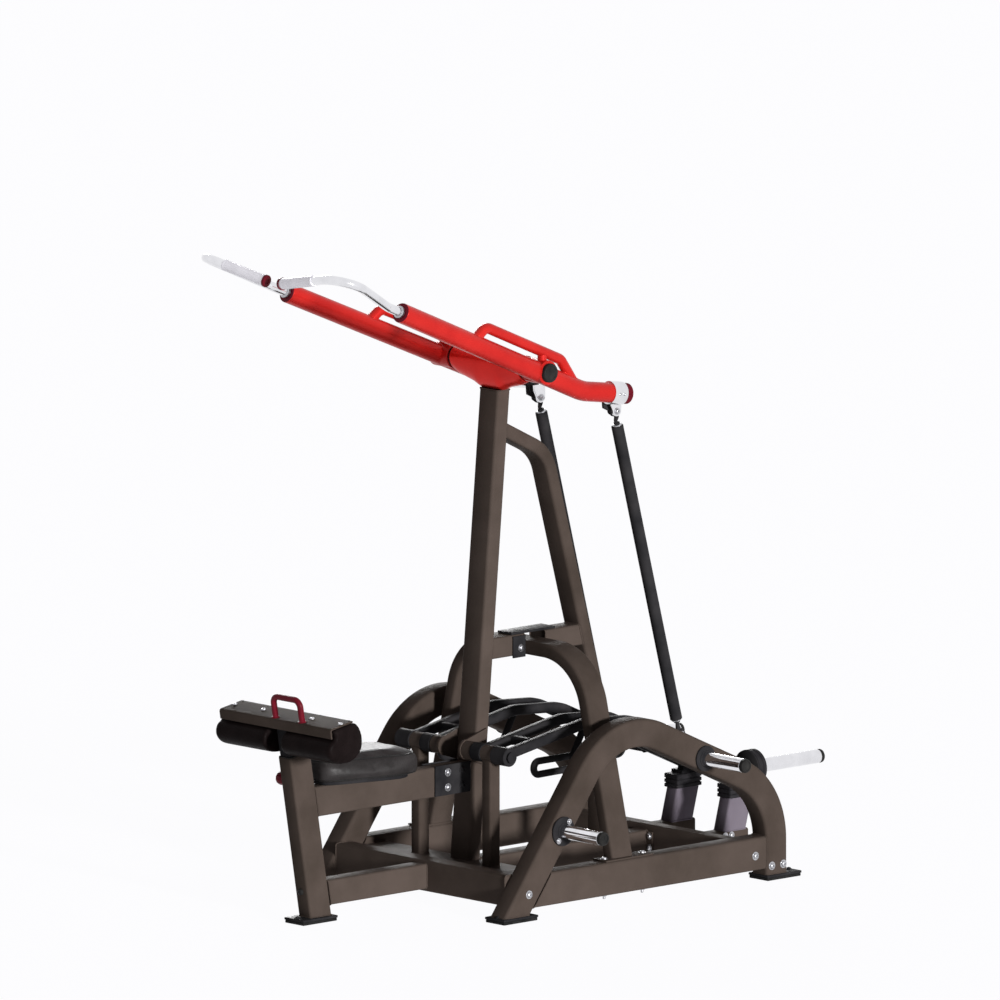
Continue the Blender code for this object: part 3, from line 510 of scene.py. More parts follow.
def addNut(where, way, radius=0.010, body="frame", finish=platedSteel, height=0.8):
    mesh = boltGroups.setdefault((body, finish.name), bmesh.new())
    way = way.normalized()
    axes = crossAxes(way)
    tall, chamfer = radius * height, radius * 0.06
    levels = ((0, 0.93, 1), (chamfer, 1, 0), (tall - chamfer, 1, 0), (tall, 0.90, 1), (tall, 0.52, 1),
              (tall * 0.4, 0.50, 1))
    loftRings(mesh, [
        ringAt(where + way * distance, *axes, 36,
               lambda angle: radius * size * (roundness + (1 - roundness) * hexShare(angle)))
        for distance, size, roundness in levels])


print("mesh tools ready")


# Side frames: arches, floor rails, feet

sideLook = dict(
    track=0.475, tubeWidth=0.080, archDepth=0.100, corner=0.012, frontFoot=0.507, rearFoot=1.758, crownY=0.992,
    crownZ=0.672, bend=0.280, fall=0.460, railLow=0.042, railHigh=0.160, railGap=0.0015, footLength=0.165,
    footWidth=0.100, footTop=0.020, padTop=0.011, padInset=0.002, frontShift=0.008, rearShift=0.027,
    boltInset=0.016, boltSize=0.0075, outerBoltSize=0.0105, nutSize=0.009, studSize=0.0095,
    studRod=((0.0, 0.0052), (0.0165, 0.0052), (0.018, 0.0040)),
    outerBolts=((0.561, 0.094), (1.652, 0.096), (1.7316, 0.0511), (1.7869, 0.0516)),
    innerNuts=((1.665, 0.118), (1.665, 0.076), (0.575, 0.118), (0.575, 0.076)), studs=(0.959, 1.142),
    studTop=0.1665,
)


def makeFoot(name, x, y, node):
    look = sideLook
    half, reach = look["footWidth"] / 2, look["footLength"] / 2
    inset = look["padInset"]
    makeBlock("footPad_" + name, at(x - half + inset, y - reach + inset, 0),
              at(x + half - inset, y + reach - inset, look["padTop"]), blackRubber, edge=0.003)
    makeBlock("footPlate_" + name, at(x - half, y - reach, look["padTop"]),
              at(x + half, y + reach, look["footTop"]), blackSteel, stands=(node,), edge=0.0025)
    for end in (-1, 1):
        addBolt(at(x, y + end * (reach - look["boltInset"]), look["footTop"]), zAxis, look["boltSize"],
                finish=blackSteel)


def makeSideFrame(name, side):
    look = sideLook
    x = side * look["track"]
    fallEnd = look["crownZ"] - look["fall"] * (look["rearFoot"] - look["crownY"])
    corners = [at(x, look["frontFoot"], look["footTop"]), at(x, look["crownY"], look["crownZ"]),
               at(x, look["rearFoot"], fallEnd), at(x, look["rearFoot"], look["footTop"])]
    makeTube("sideArch_" + name, bentPath(corners, look["bend"], 2.5),
             boxRing(look["tubeWidth"], look["archDepth"], look["corner"]),
             xAxis, startCut=zAxis, stands=("arch_" + name,), welds="start end")
    middle = (look["railLow"] + look["railHigh"]) / 2
    legSlope = (look["crownZ"] - look["footTop"]) / (look["crownY"] - look["frontFoot"])
    legY = look["frontFoot"] + (middle - look["footTop"]) / legSlope
    normal = Vector((0, legSlope, -1)).normalized()
    start = at(x, legY + (look["archDepth"] / 2 + meetGap) / normal.y, middle)
    end = at(x, look["rearFoot"] - look["archDepth"] / 2 - look["railGap"], middle)
    makeTube("floorRail_" + name, [start, end],
             boxRing(look["tubeWidth"], look["railHigh"] - look["railLow"], look["corner"]), xAxis, startCut=normal,
             stands=("rail_" + name,), welds="start end")
    makeFoot(name + "_front", x, look["frontFoot"] + look["frontShift"], f"foot_{name}_front")
    makeFoot(name + "_rear", x, look["rearFoot"] + look["rearShift"], f"foot_{name}_rear")
    reach = side * look["tubeWidth"] / 2
    for y, z in look["outerBolts"]:
        addBolt(at(x + reach, y, z), xAxis * side, look["outerBoltSize"])
    for y, z in look["innerNuts"]:
        addNut(at(x - reach, y, z), -xAxis * side, look["nutSize"])
    for y in look["studs"]:
        addBolt(at(x, y, look["studTop"]), zAxis, look["studSize"])
        addNut(at(x, y, look["railLow"]), -zAxis, look["studSize"])
        makeTurned(f"railStud_{name}_{int(y * 1000)}", at(x, y, look["railLow"]), -zAxis,
                   look["studRod"], platedSteel, count=20)


for name, side in sides.items():
    makeSideFrame(name, side)
print("side frames ready")

# Floor members between the side frames

floorLook = dict(
    reach=0.4347, corner=0.010, spineWidth=0.080, spineLow=0.055, spineHigh=0.135, spineFront=0.7703,
    spineRear=1.5797, flangeThick=0.007, flangeHalf=0.068, flangeLow=0.060, flangeHigh=0.131,
    flangeBolts=((-0.055, 0.055), (0.075, 0.116)),
    members=(("frontCross", "front_cross_tube", 0.560, 0.080, 0.045, 0.155),
             ("midCross", "mid_cross_tube", 0.710, 0.120, 0.055, 0.135),
             ("rearCross", "rear_cross_tube", 1.610, 0.060, 0.045, 0.155)),
)


def makeFloorMembers():
    look = floorLook
    for name, node, y, width, low, high in look["members"]:
        path = [at(end * look["reach"], y, (low + high) / 2) for end in (-1, 1)]
        makeTube(name, path, boxRing(width, high - low, look["corner"]), yAxis, stands=(node,), welds="start end")
    middle = (look["spineLow"] + look["spineHigh"]) / 2
    makeTube("spineTube", [at(0, look["spineFront"], middle), at(0, look["spineRear"], middle)],
             boxRing(look["spineWidth"], look["spineHigh"] - look["spineLow"], look["corner"]),
             xAxis, stands=("spine_tube",), welds="start end")
    for name, y, way in (("spineFlangeRear", look["spineRear"], -1), ("spineFlangeFront", look["spineFront"], 1)):
        face = y + way * look["flangeThick"]
        makeBlock(name, at(-look["flangeHalf"], y, look["flangeLow"]),
                  at(look["flangeHalf"], face, look["flangeHigh"]), framePaint)
        columns, rows = look["flangeBolts"]
        for x in columns:
            for z in rows:
                addBolt(at(x, face, z), yAxis * way)


makeFloorMembers()
print("floor members ready")

# Tower: leaning upright, bent rear stay, hoop and the beams through it

towerLook = dict(
    uprightWidth=0.100, uprightDepth=0.060, lean=0.0869, footY=0.7353, footZ=0.135, top=1.790, corner=0.012,
    stayWidth=0.088, stayDepth=0.050, stayJoint=1.647, elbowY=1.0987, elbowZ=1.5425, stayBend=0.160, kneeY=1.3866,
    kneeZ=0.500, beamWidth=0.080, beamLow=0.835, beamHigh=0.910, beamCorner=0.010, hoopY=1.035, hoopLength=0.100,
    hoopDepth=0.050, hoopTop=0.860, hoopCorner=0.297, hoopFoot=0.468, hoopLow=0.1603, hoopBend=0.217,
    footPlateLow=0.1605, footPlateTop=0.1665, footPlateHalf=0.036, footPlateFront=0.098, footPlateRear=0.128,
    tieWidth=0.072, tieFront=0.110, tieRear=0.100, tieTop=0.009, strapThick=0.006, strapLow=0.829, strapTop=0.906,
    strapBolt=(-0.073, 0.862), strapBoltSize=0.0095,
)


def uprightAt(z):
    return towerLook["footY"] + towerLook["lean"] * (z - towerLook["footZ"])


def makeTower():
    look = towerLook
    face = Vector((0, 1, -look["lean"])).normalized()
    path = [at(0, uprightAt(look["footZ"]), look["footZ"] + meetGap), at(0, uprightAt(look["top"]), look["top"])]
    makeTube("mainUpright", path, boxRing(look["uprightWidth"], look["uprightDepth"], look["corner"]), xAxis,
             startCut=zAxis, endCut=zAxis, stands=("main_upright",), welds="start end")
    stayStart = at(0, uprightAt(look["stayJoint"]), look["stayJoint"]) + face * (look["uprightDepth"] / 2 + meetGap)
    elbow, knee = at(0, look["elbowY"], look["elbowZ"]), at(0, look["kneeY"], look["kneeZ"])
    stayFoot = at(0, look["kneeY"], floorLook["spineHigh"] + meetGap)
    makeTube("rearStay", bentPath([stayStart, elbow, knee, stayFoot], look["stayBend"], 2.5),
             boxRing(look["stayWidth"], look["stayDepth"], look["corner"]), xAxis,
             startCut=face, endCut=zAxis, stands=("rear_stay",), welds="start end")

    middle = (look["beamLow"] + look["beamHigh"]) / 2
    ring = boxRing(look["beamWidth"], look["beamHigh"] - look["beamLow"], look["beamCorner"])
    front = at(0, uprightAt(middle), middle) + yAxis * ((look["uprightDepth"] / 2 + meetGap) / face.y)
    hoopReach = look["hoopLength"] / 2 + meetGap
    makeTube("frontBeam", [front, at(0, look["hoopY"] - hoopReach, middle)], ring, xAxis,
             startCut=face, stands=("front_beam",), welds="start end")
    stayRun = (knee - elbow).normalized()
    square = Vector((0, -stayRun.z, stayRun.y))
    stayY = look["elbowY"] + (middle - look["elbowZ"]) * stayRun.y / stayRun.z
    rear = at(0, stayY - (look["stayDepth"] / 2 + meetGap) / square.y, middle)
    makeTube("rearBeam", [at(0, look["hoopY"] + hoopReach, middle), rear], ring, xAxis,
             endCut=square, stands=("rear_beam",), welds="start end")

    corners = [at(x, look["hoopY"], z) for x, z in (
        (-look["hoopFoot"], look["hoopLow"]), (-look["hoopCorner"], look["hoopTop"]),
        (look["hoopCorner"], look["hoopTop"]), (look["hoopFoot"], look["hoopLow"]))]
    makeTube("hoopTube", bentPath(corners, look["hoopBend"], 2.5),
             boxRing(look["hoopLength"], look["hoopDepth"], 0.011), yAxis, startCut=zAxis, endCut=zAxis,
             stands=("hoop",), welds="start end")
    for name, side in sides.items():
        x, half = side * sideLook["track"], look["footPlateHalf"]
        makeBlock("hoopFootPlate_" + name, at(x - half, look["hoopY"] - look["footPlateFront"],
                                              look["footPlateLow"]),
                  at(x + half, look["hoopY"] + look["footPlateRear"], look["footPlateTop"]), framePaint)
    half = look["tieWidth"] / 2
    makeBlock("tiePlate", at(-half, look["hoopY"] - look["tieFront"], look["beamHigh"] + meetGap),
              at(half, look["hoopY"] + look["tieRear"], look["beamHigh"] + look["tieTop"]), blackSteel,
              stands=("tie_plate",), edge=0.002)
    boltY, boltZ = look["strapBolt"]
    for name in ("left", "right"):
        side = sides[name]
        inner = side * look["beamWidth"] / 2
        outer = side * (look["beamWidth"] / 2 + look["strapThick"])
        makeBlock("hoopStrap_" + name, at(inner, look["hoopY"] - look["tieFront"], look["strapLow"]),
                  at(outer, look["hoopY"] - look["hoopLength"] / 2 - 0.0005, look["strapTop"]), blackSteel)
        addBolt(at(outer, look["hoopY"] + boltY, boltZ), xAxis * side, look["strapBoltSize"])


makeTower()
print("tower ready")

# Seat end: front post with its socket, base tube, seat beam and bracket plates

postLook = dict(
    width=0.066, depth=0.100, lean=-0.170, footY=0.018, footZ=0.020, top=0.606, pocket=0.330, corner=0.010,
    stemWidth=0.056, stemDepth=0.088, stemFit=0.0012, rimBevel=0.003, footBack=0.020, stubZ=0.120,
    baseWidth=0.070, baseLow=0.055, baseHigh=0.145, baseEnd=0.5197, beamWidth=0.060, beamLow=0.375,
    beamHigh=0.483, knobZ=0.508, bracketThick=0.0065, bracketLow=(0.560, 0.3785), bracketHigh=(0.7300, 0.4865),
    bracketRows=(0.4595, 0.406), bracketColumns=(0.619, 0.690), bracketBolt=0.0100,
)
postWay = Vector((0, postLook["lean"], 1)).normalized()
postFace = Vector((0, postWay.z, -postWay.y))


def postAt(z):
    return postLook["footY"] + postLook["lean"] * (z - postLook["footZ"])


def makeFrontPost():
    look = postLook
    top = at(0, postAt(look["top"]), look["top"])
    foot = at(0, postAt(look["footZ"]), look["footZ"] + meetGap)
    bevel = look["rimBevel"]
    rings = sweepRings([foot, top - postWay * 0.0025], boxRing(look["width"], look["depth"], look["corner"]), xAxis,
                       startCut=zAxis)
    addWeld(rings[0])
    rings += sweepRings([top - postWay * 0.001, top], boxRing(look["width"] - bevel, look["depth"] - bevel, 0.009),
                        xAxis)
    bore = boxRing(look["stemWidth"] + look["stemFit"], look["stemDepth"] + look["stemFit"], 0.005)
    inner = sweepRings([top, top - postWay * look["pocket"]], bore, -xAxis)
    # The bore's rings start at the corner that faces the rim's first one, and run the same way round
    shift = min(range(len(inner[0])), key=lambda k: (inner[0][k] - rings[-1][0]).length)
    inner = [ring[shift:] + ring[:shift] for ring in inner]
    if (inner[0][1] - rings[-1][1]).length > (inner[0][-1] - rings[-1][1]).length:
        inner = [[ring[0]] + list(reversed(ring[1:])) for ring in inner]
    makeLoft("frontPost", rings + inner, framePaint, stands=("front_post",))
    makeFoot("seat", 0, look["footY"] - look["footBack"], "foot_seat")
    stub = at(0, postAt(look["stubZ"]), look["stubZ"]) - postFace * (look["depth"] / 2 - 0.002)
    makeTurned("postStub", stub, -postFace, ((0, 0.011), (0.010, 0.011), (0.012, 0.0095), (0.014, 0.006)),
               blackPlastic, count=28)
    collar = boxRing(look["stemWidth"] + 0.008, look["stemDepth"] + 0.010, 0.009)
    levels = [[top + postWay * rise + xAxis * a + postFace * b for a, b in ring]
              for ring, rise in ((collar, 0.0002), (collar, 0.0022), (bore, 0.0030), (bore, 0.0002))]
    makeLoft("stemGuide", levels, blackPlastic, closed=True)


def makeSeatBeams():
    look = postLook
    lean = Vector((0, 1, -towerLook["lean"])).normalized()
    for name, node in (("base", "base_tube"), ("beam", "seat_beam")):
        low, high = look[name + "Low"], look[name + "High"]
        middle = (low + high) / 2
        start = at(0, postAt(middle) + (look["depth"] / 2 + meetGap) / postFace.y, middle)
        if name == "base":
            label, cut, end = "baseTube", None, at(0, look["baseEnd"], middle)
        else:
            label, cut = "seatBeam", lean
            end = at(0, uprightAt(middle) - (towerLook["uprightDepth"] / 2 + meetGap) / lean.y, middle)
        makeTube(label, [start, end], boxRing(look[name + "Width"], high - low, 0.010), xAxis, startCut=postFace,
                 endCut=cut, stands=(node,), welds="start end")
    for name, side in sides.items():
        inner = side * look["beamWidth"] / 2
        outer = side * (look["beamWidth"] / 2 + look["bracketThick"])
        makeBlock("beamBracket_" + name, at(inner, *look["bracketLow"]), at(outer, *look["bracketHigh"]),
                  blackSteel)
        for z in look["bracketRows"]:
            for y, finish in zip(look["bracketColumns"], (platedSteel, blackSteel)):
                addBolt(at(outer, y, z), xAxis * side, look["bracketBolt"], finish=finish)


makeFrontPost()
makeSeatBeams()
print("seat end ready")

# Seat cushion: a tapered vinyl pad blown up by a short cloth run, with a sewn edge

seatLook = dict(
    front=0.000, length=0.420, frontHalf=0.078, rearHalf=0.150, widen=1.25, cornerPower=0.42, low=0.4956,
    boardLow=0.4833, boardSteps=((0, 0.034), (0.0015, 0.032), (0.0105, 0.032), (0.0121, 0.034)),
    profile=((0.0005, 0.022), (0.004, 0.012), (0.012, 0.006), (0.028, 0.003), (0.055, 0.0045), (0.068, 0.010),
             (0.0775, 0.020), (0.084, 0.036), (0.0875, 0.056), (0.089, 0.076)),
    voxel=0.0055, pressure=4.0, cap=0.006, heldBelow=0.006, pipeRadius=0.0026, pipeTop=0.0745, pipeLow=0.008,
)
clothLook = dict(stiffness=30, bending=2.0, quality=6, frames=20, smoothing=3)


def seatOutline(inset, count=96):
    look = seatLook
    half = look["length"] / 2
    points = []
    for i in range(count):
        angle = 2 * pi * (i + 0.5) / count
        across = abs(cos(angle)) ** look["cornerPower"] * (1 if cos(angle) > 0 else -1)
        along = abs(sin(angle)) ** look["cornerPower"] * (1 if sin(angle) > 0 else -1)
        share = min(1, (along + 1) / 2 * look["widen"])
        width = look["frontHalf"] + (look["rearHalf"] - look["frontHalf"]) * share
        points.append((across * (width - inset), along * (half - inset)))
    return points


def bakeModifiers(piece):
    graph = bpy.context.evaluated_depsgraph_get()
    shaped = bpy.data.meshes.new_from_object(piece.evaluated_get(graph))
    piece.modifiers.clear()
    old = piece.data
    piece.data = shaped
    bpy.data.meshes.remove(old)


def runCloth(piece, pressure, pinned):
    group = piece.vertex_groups.new(name="held")
    group.add([vert.index for vert in piece.data.vertices if pinned(vert.co)], 1.0, "REPLACE")
    cloth = piece.modifiers.new("inflate", "CLOTH")
    settings = cloth.settings
    settings.use_pressure = True
    settings.uniform_pressure_force = pressure
    settings.effector_weights.gravity = 0
    settings.vertex_group_mass = "held"
    settings.tension_stiffness = settings.compression_stiffness = clothLook["stiffness"]
    settings.bending_stiffness = clothLook["bending"]
    settings.quality = clothLook["quality"]
    cloth.point_cache.frame_start = 1
    cloth.point_cache.frame_end = clothLook["frames"]
    for step in range(1, clothLook["frames"] + 1):
        bpy.context.scene.frame_set(step)
    bakeModifiers(piece)
    bpy.context.scene.frame_set(1)


def swell(piece, voxel, pressure, cap, pinned):
    remesh = piece.modifiers.new("evenMesh", "REMESH")
    remesh.mode = "VOXEL"
    remesh.voxel_size = voxel
    bakeModifiers(piece)
    still = [vert.co.copy() for vert in piece.data.vertices]
    runCloth(piece, pressure, pinned)
    for vert, home in zip(piece.data.vertices, still):
        move = vert.co - home
        if move.length > cap:
            vert.co = home + move.normalized() * cap
    smoothing = bmesh.new()
    smoothing.from_mesh(piece.data)
    for _ in range(clothLook["smoothing"]):
        bmesh.ops.smooth_vert(smoothing, verts=smoothing.verts, factor=0.5, use_axis_x=True, use_axis_y=True,
                              use_axis_z=True)
    smoothing.to_mesh(piece.data)
    smoothing.free()
    fine = piece.modifiers.new("fine", "SUBSURF")
    fine.levels = fine.render_levels = 1
    bakeModifiers(piece)
    piece.data.shade_smooth()


def makeSeat():
    look = seatLook
    middle = look["front"] + look["length"] / 2

    def level(height, inset):
        return [at(x, middle + y, height) for x, y in seatOutline(inset)]

    makeLoft("seatBoard", [level(look["boardLow"] + rise, inset) for rise, inset in look["boardSteps"]],
             blackSteel, stands=("seat_carrier",))
    cushion = makeLoft("seatCushion", [level(look["low"] + rise, inset) for rise, inset in look["profile"]],
                       seatVinyl, stands=("seat_cushion",))
    swell(cushion, look["voxel"], look["pressure"], look["cap"],
          lambda point: point.z < look["low"] + look["heldBelow"])
    for vert in cushion.data.vertices:
        vert.co.z = max(vert.co.z, look["low"] + meetGap)
    cushion.data.update()
    addEdgePiping("seatPiping_top", cushion, look["low"] + look["pipeTop"], look["pipeRadius"])
    addEdgePiping("seatPiping_low", cushion, look["low"] + look["pipeLow"], look["pipeRadius"] * 0.8)


def addEdgePiping(name, piece, height, radius, count=160):
    centre = sum((vert.co for vert in piece.data.vertices), Vector()) / len(piece.data.vertices)
    origin = Vector((centre.x, centre.y, height))
    points = []
    for i in range(count):
        angle = 2 * pi * i / count
        way = Vector((cos(angle), sin(angle), 0))
        hit, where, _, _ = piece.ray_cast(origin + way * 0.5, -way)
        if hit:
            points.append(where)
    centre = sum(points, Vector()) / len(points)
    rings = []
    for i, point in enumerate(points):
        ahead = (points[(i + 1) % len(points)] - points[i - 1]).normalized()
        outward = ahead.cross(zAxis).normalized()
        if outward.dot(point - centre) < 0:
            outward = -outward
        rings.append(ringAt(point + outward * (radius * 0.25), outward, zAxis, 10, radius))
    makeLoft(name, rings, pipingVinyl, closed=True)


makeSeat()
print("seat ready")

# Thigh pad: D-shaped roll under its folded plate, sliding on the inner post

thighLook = dict(
    half=0.297, centreZ=0.680, top=0.067, middle=(-0.012, 0.004),
    section=((-0.053, 0.0665), (0.036, 0.0665), (0.059, 0.050), (0.0700, 0.012), (0.064, -0.027), (0.040, -0.055),
             (0.004, -0.067), (-0.040, -0.063), (-0.077, -0.047), (-0.096, -0.020), (-0.0945, 0.006),
             (-0.082, 0.024), (-0.0600, 0.034), (-0.0570, 0.052)),
    ends=((1.0, 0.86), (0.994, 0.93), (0.984, 0.965), (0.965, 0.985), (0.92, 0.99), (0.45, 0.99)), voxel=0.0055,
    pressure=4.0, cap=0.003, notchHalf=0.040, notchRear=0.048, notchReach=0.15, notchHeld=0.008, plateThick=0.006,
    plateRear=0.039, plateInset=0.011, foldRadius=0.010, flangeFront=-0.070, flangeDrop=0.036,
    boltRow=(-0.272, -0.125, 0.125, 0.272), boltAcross=-0.006, rivetAcross=0.034, stemScrews=(-0.024, -0.038),
    boltSize=0.0092, boltHeight=0.55, rivetSize=0.0030, screwSize=0.0034,
    footProfile=((0, 0.0150), (0.0016, 0.0150), (0.0032, 0.0138), (0.0040, 0.0111)), grabHalf=0.068,
    grabHeight=0.078, grabRadius=0.011, grabBend=0.026, grabX=0.053, grabAcross=-0.050,
)
knobLook = dict(
    lobes=12, stem=0.006, neck=0.0100, neckLength=0.026, back=0.0200,
    steps=((0.0275, 0.0215, 0.0010), (0.036, 0.0236, 0.0016), (0.045, 0.0250, 0.0016), (0.056, 0.0228, 0.0010),
           (0.0625, 0.0130, 0.0)),
    ferrule=((0, 0.0150), (0.0035, 0.0150), (0.0045, 0.0142), (0.0045, 0.0109), (0, 0.0109)),
)
padOrigin = at(0, postAt(thighLook["centreZ"]), thighLook["centreZ"])


def onPad(x, across, along):
    return padOrigin + xAxis * x + postFace * across + postWay * along


def carveNotch(pad):
    look = thighLook
    half, reach = look["notchHalf"], look["notchReach"]
    corners = ((-half, -reach), (half, -reach), (half, look["notchRear"]), (-half, look["notchRear"]))
    notch = bmesh.new()
    loftRings(notch, [[onPad(x, across, along) for x, across in corners] for along in (-reach, reach)])
    bmesh.ops.recalc_face_normals(notch, faces=notch.faces)
    mesh = bpy.data.meshes.new("notchCutter")
    notch.to_mesh(mesh)
    notch.free()
    cutter = bpy.data.objects.new("notchCutter", mesh)
    bpy.context.scene.collection.objects.link(cutter)
    carve = pad.modifiers.new("postNotch", "BOOLEAN")
    carve.solver = "EXACT"
    carve.object = cutter
    bakeModifiers(pad)
    bpy.data.objects.remove(cutter)


def makeRoll():
    look = thighLook
    middle = Vector(look["middle"])
    section = smoothRing(look["section"], 8)
    rings = []
    for share, size in [(-share, size) for share, size in look["ends"]] + list(reversed(look["ends"])):
        ring = [middle + (point - middle) * size for point in section]
        rings.append([onPad(share * look["half"], across, min(along, look["top"] - 0.0005))
                      for across, along in ring])
    pad = makeLoft("thighRoll", rings, rollVinyl, "thigh_pad", stands=("thigh_pad",))
    carveNotch(pad)

    def held(point):
        away = point - padOrigin
        across, along = away.dot(postFace), away.dot(postWay)
        margin = look["notchHeld"]
        nearNotch = abs(away.x) < look["notchHalf"] + margin and across < look["notchRear"] + margin
        underLip = across < -0.045 and along > 0.028
        return nearNotch or underLip or along > look["top"] - 0.010

    swell(pad, look["voxel"], look["pressure"], look["cap"], held)
    for vert in pad.data.vertices:
        rise = (vert.co - padOrigin).dot(postWay)
        if rise > look["top"] - 0.0002:
            vert.co -= postWay * (rise - look["top"] + 0.0002)
    pad.data.update()


def makePadPlate():
    look = thighLook
    low = look["top"] + meetGap
    top = low + look["plateThick"]
    front, fold = look["flangeFront"], look["foldRadius"]
    inner, small = front + look["plateThick"], look["foldRadius"] - look["plateThick"]
    outline = [(look["plateRear"], low), (look["plateRear"], top)]
    outline += [(front + fold - fold * sin(a), top - fold + fold * cos(a)) for a in (pi / 12 * k for k in range(7))]
    outline += [(front, top - look["flangeDrop"]), (inner, top - look["flangeDrop"])]
    outline += [(inner + small - small * cos(a), low - small + small * sin(a))
                for a in (pi / 8 * k for k in range(5))]
    reach = look["half"] - look["plateInset"]
    makeLoft("padPlate", [[onPad(x, across, along) for across, along in outline] for x in (-reach, reach)],
             framePaint, "thigh_pad", stands=("pad_plate",), bevel=0.0012)
    for x in look["boltRow"]:
        addBolt(onPad(x, look["boltAcross"], top), postWay, look["boltSize"], "thigh_pad", washer=False,
                height=look["boltHeight"])
        addBolt(onPad(x, look["rivetAcross"], top), postWay, look["rivetSize"], "thigh_pad", finish=blackSteel,
                washer=False)

    across, foot = look["grabAcross"], top + meetGap
    left, right = look["grabX"] - look["grabHalf"], look["grabX"] + look["grabHalf"]
    corners = [onPad(x, across, foot + rise) for x, rise in (
        (left, 0), (left, look["grabHeight"]), (right, look["grabHeight"]), (right, 0))]
    makeTube("padGrab", bentPath(corners, look["grabBend"], 6), roundRing(look["grabRadius"], 32), postFace,
             redPlastic, "thigh_pad", stands=("pad_grab_handle",))
    for name, x in (("left", left), ("right", right)):
        makeTurned("grabFoot_" + name, onPad(x, across, foot - 0.0002), postWay,
                   look["footProfile"], redPlastic, "thigh_pad", count=32)
    for along in look["stemScrews"]:
        addBolt(onPad(0, -postLook["stemDepth"] / 2, along), -postFace, look["screwSize"], "thigh_pad",
                finish=blackSteel, washer=False)


def makeLockKnob():
    look = knobLook
    start = at(-postLook["stemWidth"] / 2 - 0.0006, postAt(postLook["knobZ"]), postLook["knobZ"])
    wall = (postLook["width"] - postLook["stemWidth"]) / 2
    neckEnd = wall + look["neckLength"]
    levels = turnedRings(start, -xAxis, ((0, look["stem"]), (wall, look["stem"]), (wall, look["neck"]),
                                         (neckEnd, look["neck"] - 0.0002), (neckEnd, look["back"])))
    for distance, radius, depth in look["steps"]:
        levels.append(ringAt(start - xAxis * (wall + distance), postFace, -postWay, 48,
                             lambda angle: radius - depth * (0.5 - 0.5 * cos(angle * look["lobes"]))))
    makeLoft("lockKnob", levels, redPlastic, "lock_pin", stands=("lock_pin",))
    makeTurned("knobFerrule", start - xAxis * (wall - 0.0004), -xAxis, look["ferrule"], platedSteel, count=36,
               closed=True)


makeRoll()
makePadPlate()
makeLockKnob()
print("thigh pad ready")

# Pivot head: red boat-shaped saddle on the upright, dark collars, ribbed end knobs

headLook = dict(
    pivotY=0.868, pivotZ=1.883, radius=0.046, half=0.175, collarRadius=0.036, collarLip=0.003, hubInner=0.190,
    hubOuter=0.286, hubRadius=0.043, bore=0.015,
    keel=((0.0, 0.0925), (0.050, 0.0925), (0.085, 0.077), (0.150, 0.060), (0.175, 0.047)), keelWidth=0.044,
    keelShift=0.9, fullness=0.20, knobRadius=0.034, knobThick=0.016, knobRibs=30,
)
pivot = at(0, headLook["pivotY"], headLook["pivotZ"])


def keelDepth(x):
    points = headLook["keel"]
    x = abs(x)
    for (x0, d0), (x1, d1) in zip(points, points[1:]):
        if x <= x1:
            return d0 + (d1 - d0) * (x - x0) / (x1 - x0)
    return points[-1][1]


def saddlePoint(x, angle):
    look = headLook
    if sin(angle) >= 0:
        return pivot + xAxis * x + (yAxis * cos(angle) + zAxis * sin(angle)) * look["radius"]
    depth, deepest = keelDepth(x), look["keel"][0][1]
    shift = uprightAt(towerLook["top"]) - look["pivotY"]
    power = 1.0 - look["fullness"] * (depth - look["radius"]) / (deepest - look["radius"])
    drop = abs(sin(angle)) ** power
    wide = abs(cos(angle)) ** power * (1 if cos(angle) > 0 else -1)
    half = look["radius"] - (look["radius"] - look["keelWidth"]) * drop
    y = wide * half + shift * drop * depth / deepest * look["keelShift"]
    return pivot + xAxis * x + yAxis * y - zAxis * (depth * drop)


def makeHead(stations=44, count=56):
    look = headLook
    rings = [[saddlePoint(look["half"] * (2 * i / stations - 1), 2 * pi * k / count) for k in range(count)]
             for i in range(stations + 1)]
    # The saddle's brighter red is painted light on its shaded underside
    makeLoft("pivotSaddle", rings, headPaintLit, stands=("pivot_head",), bevel=0.002)
    start, end, radius = look["half"] + meetGap, look["hubInner"] - 0.0005, look["collarRadius"]
    profile = ((start, look["bore"]), (start, radius), (look["half"] + 0.0065, radius + look["collarLip"]),
               (end, radius), (end, look["bore"]))
    for name, side in sides.items():
        makeTurned("pivotCollar_" + name, pivot, xAxis * side, profile, blackPlastic,
                   stands=("pivot_shaft",) if name == "right" else (), closed=True)


makeHead()

# Arms: long red tubes with a raised loop, hub and tail cap

armLook = dict(
    radius=0.0355, tailX=0.240, splay=0.057, frontY=0.155, slope=0.4264, bendY=1.0732, bendZ=1.788,
    tailSlope=0.155, rearY=1.287, bend=0.220, loopRadius=0.0190, loopLift=0.0440, loopFront=0.514,
    loopFrontRun=0.070, loopRear=1.047, loopRearRun=0.085, loopMiddle=0.870, loopBend=0.040, legShare=0.85,
    barRadius=0.0165, socket=0.060, barExit=0.069, exitBend=0.080, elbow=(0.1294, -0.3750, 0.1833),
    run=(-0.3713, 0.0435, -0.0725), barBend=0.088, gripRadius=0.0195, gripLength=0.185, gripRibs=34,
    ribDepth=0.00045, gripCap=0.012,
)


def armPoint(y, side):
    look = armLook
    x = look["tailX"] + look["splay"] * max(0, look["bendY"] - y)
    slope = look["slope"] if y < look["bendY"] else look["tailSlope"]
    return at(side * x, y, look["bendZ"] - slope * (y - look["bendY"]))


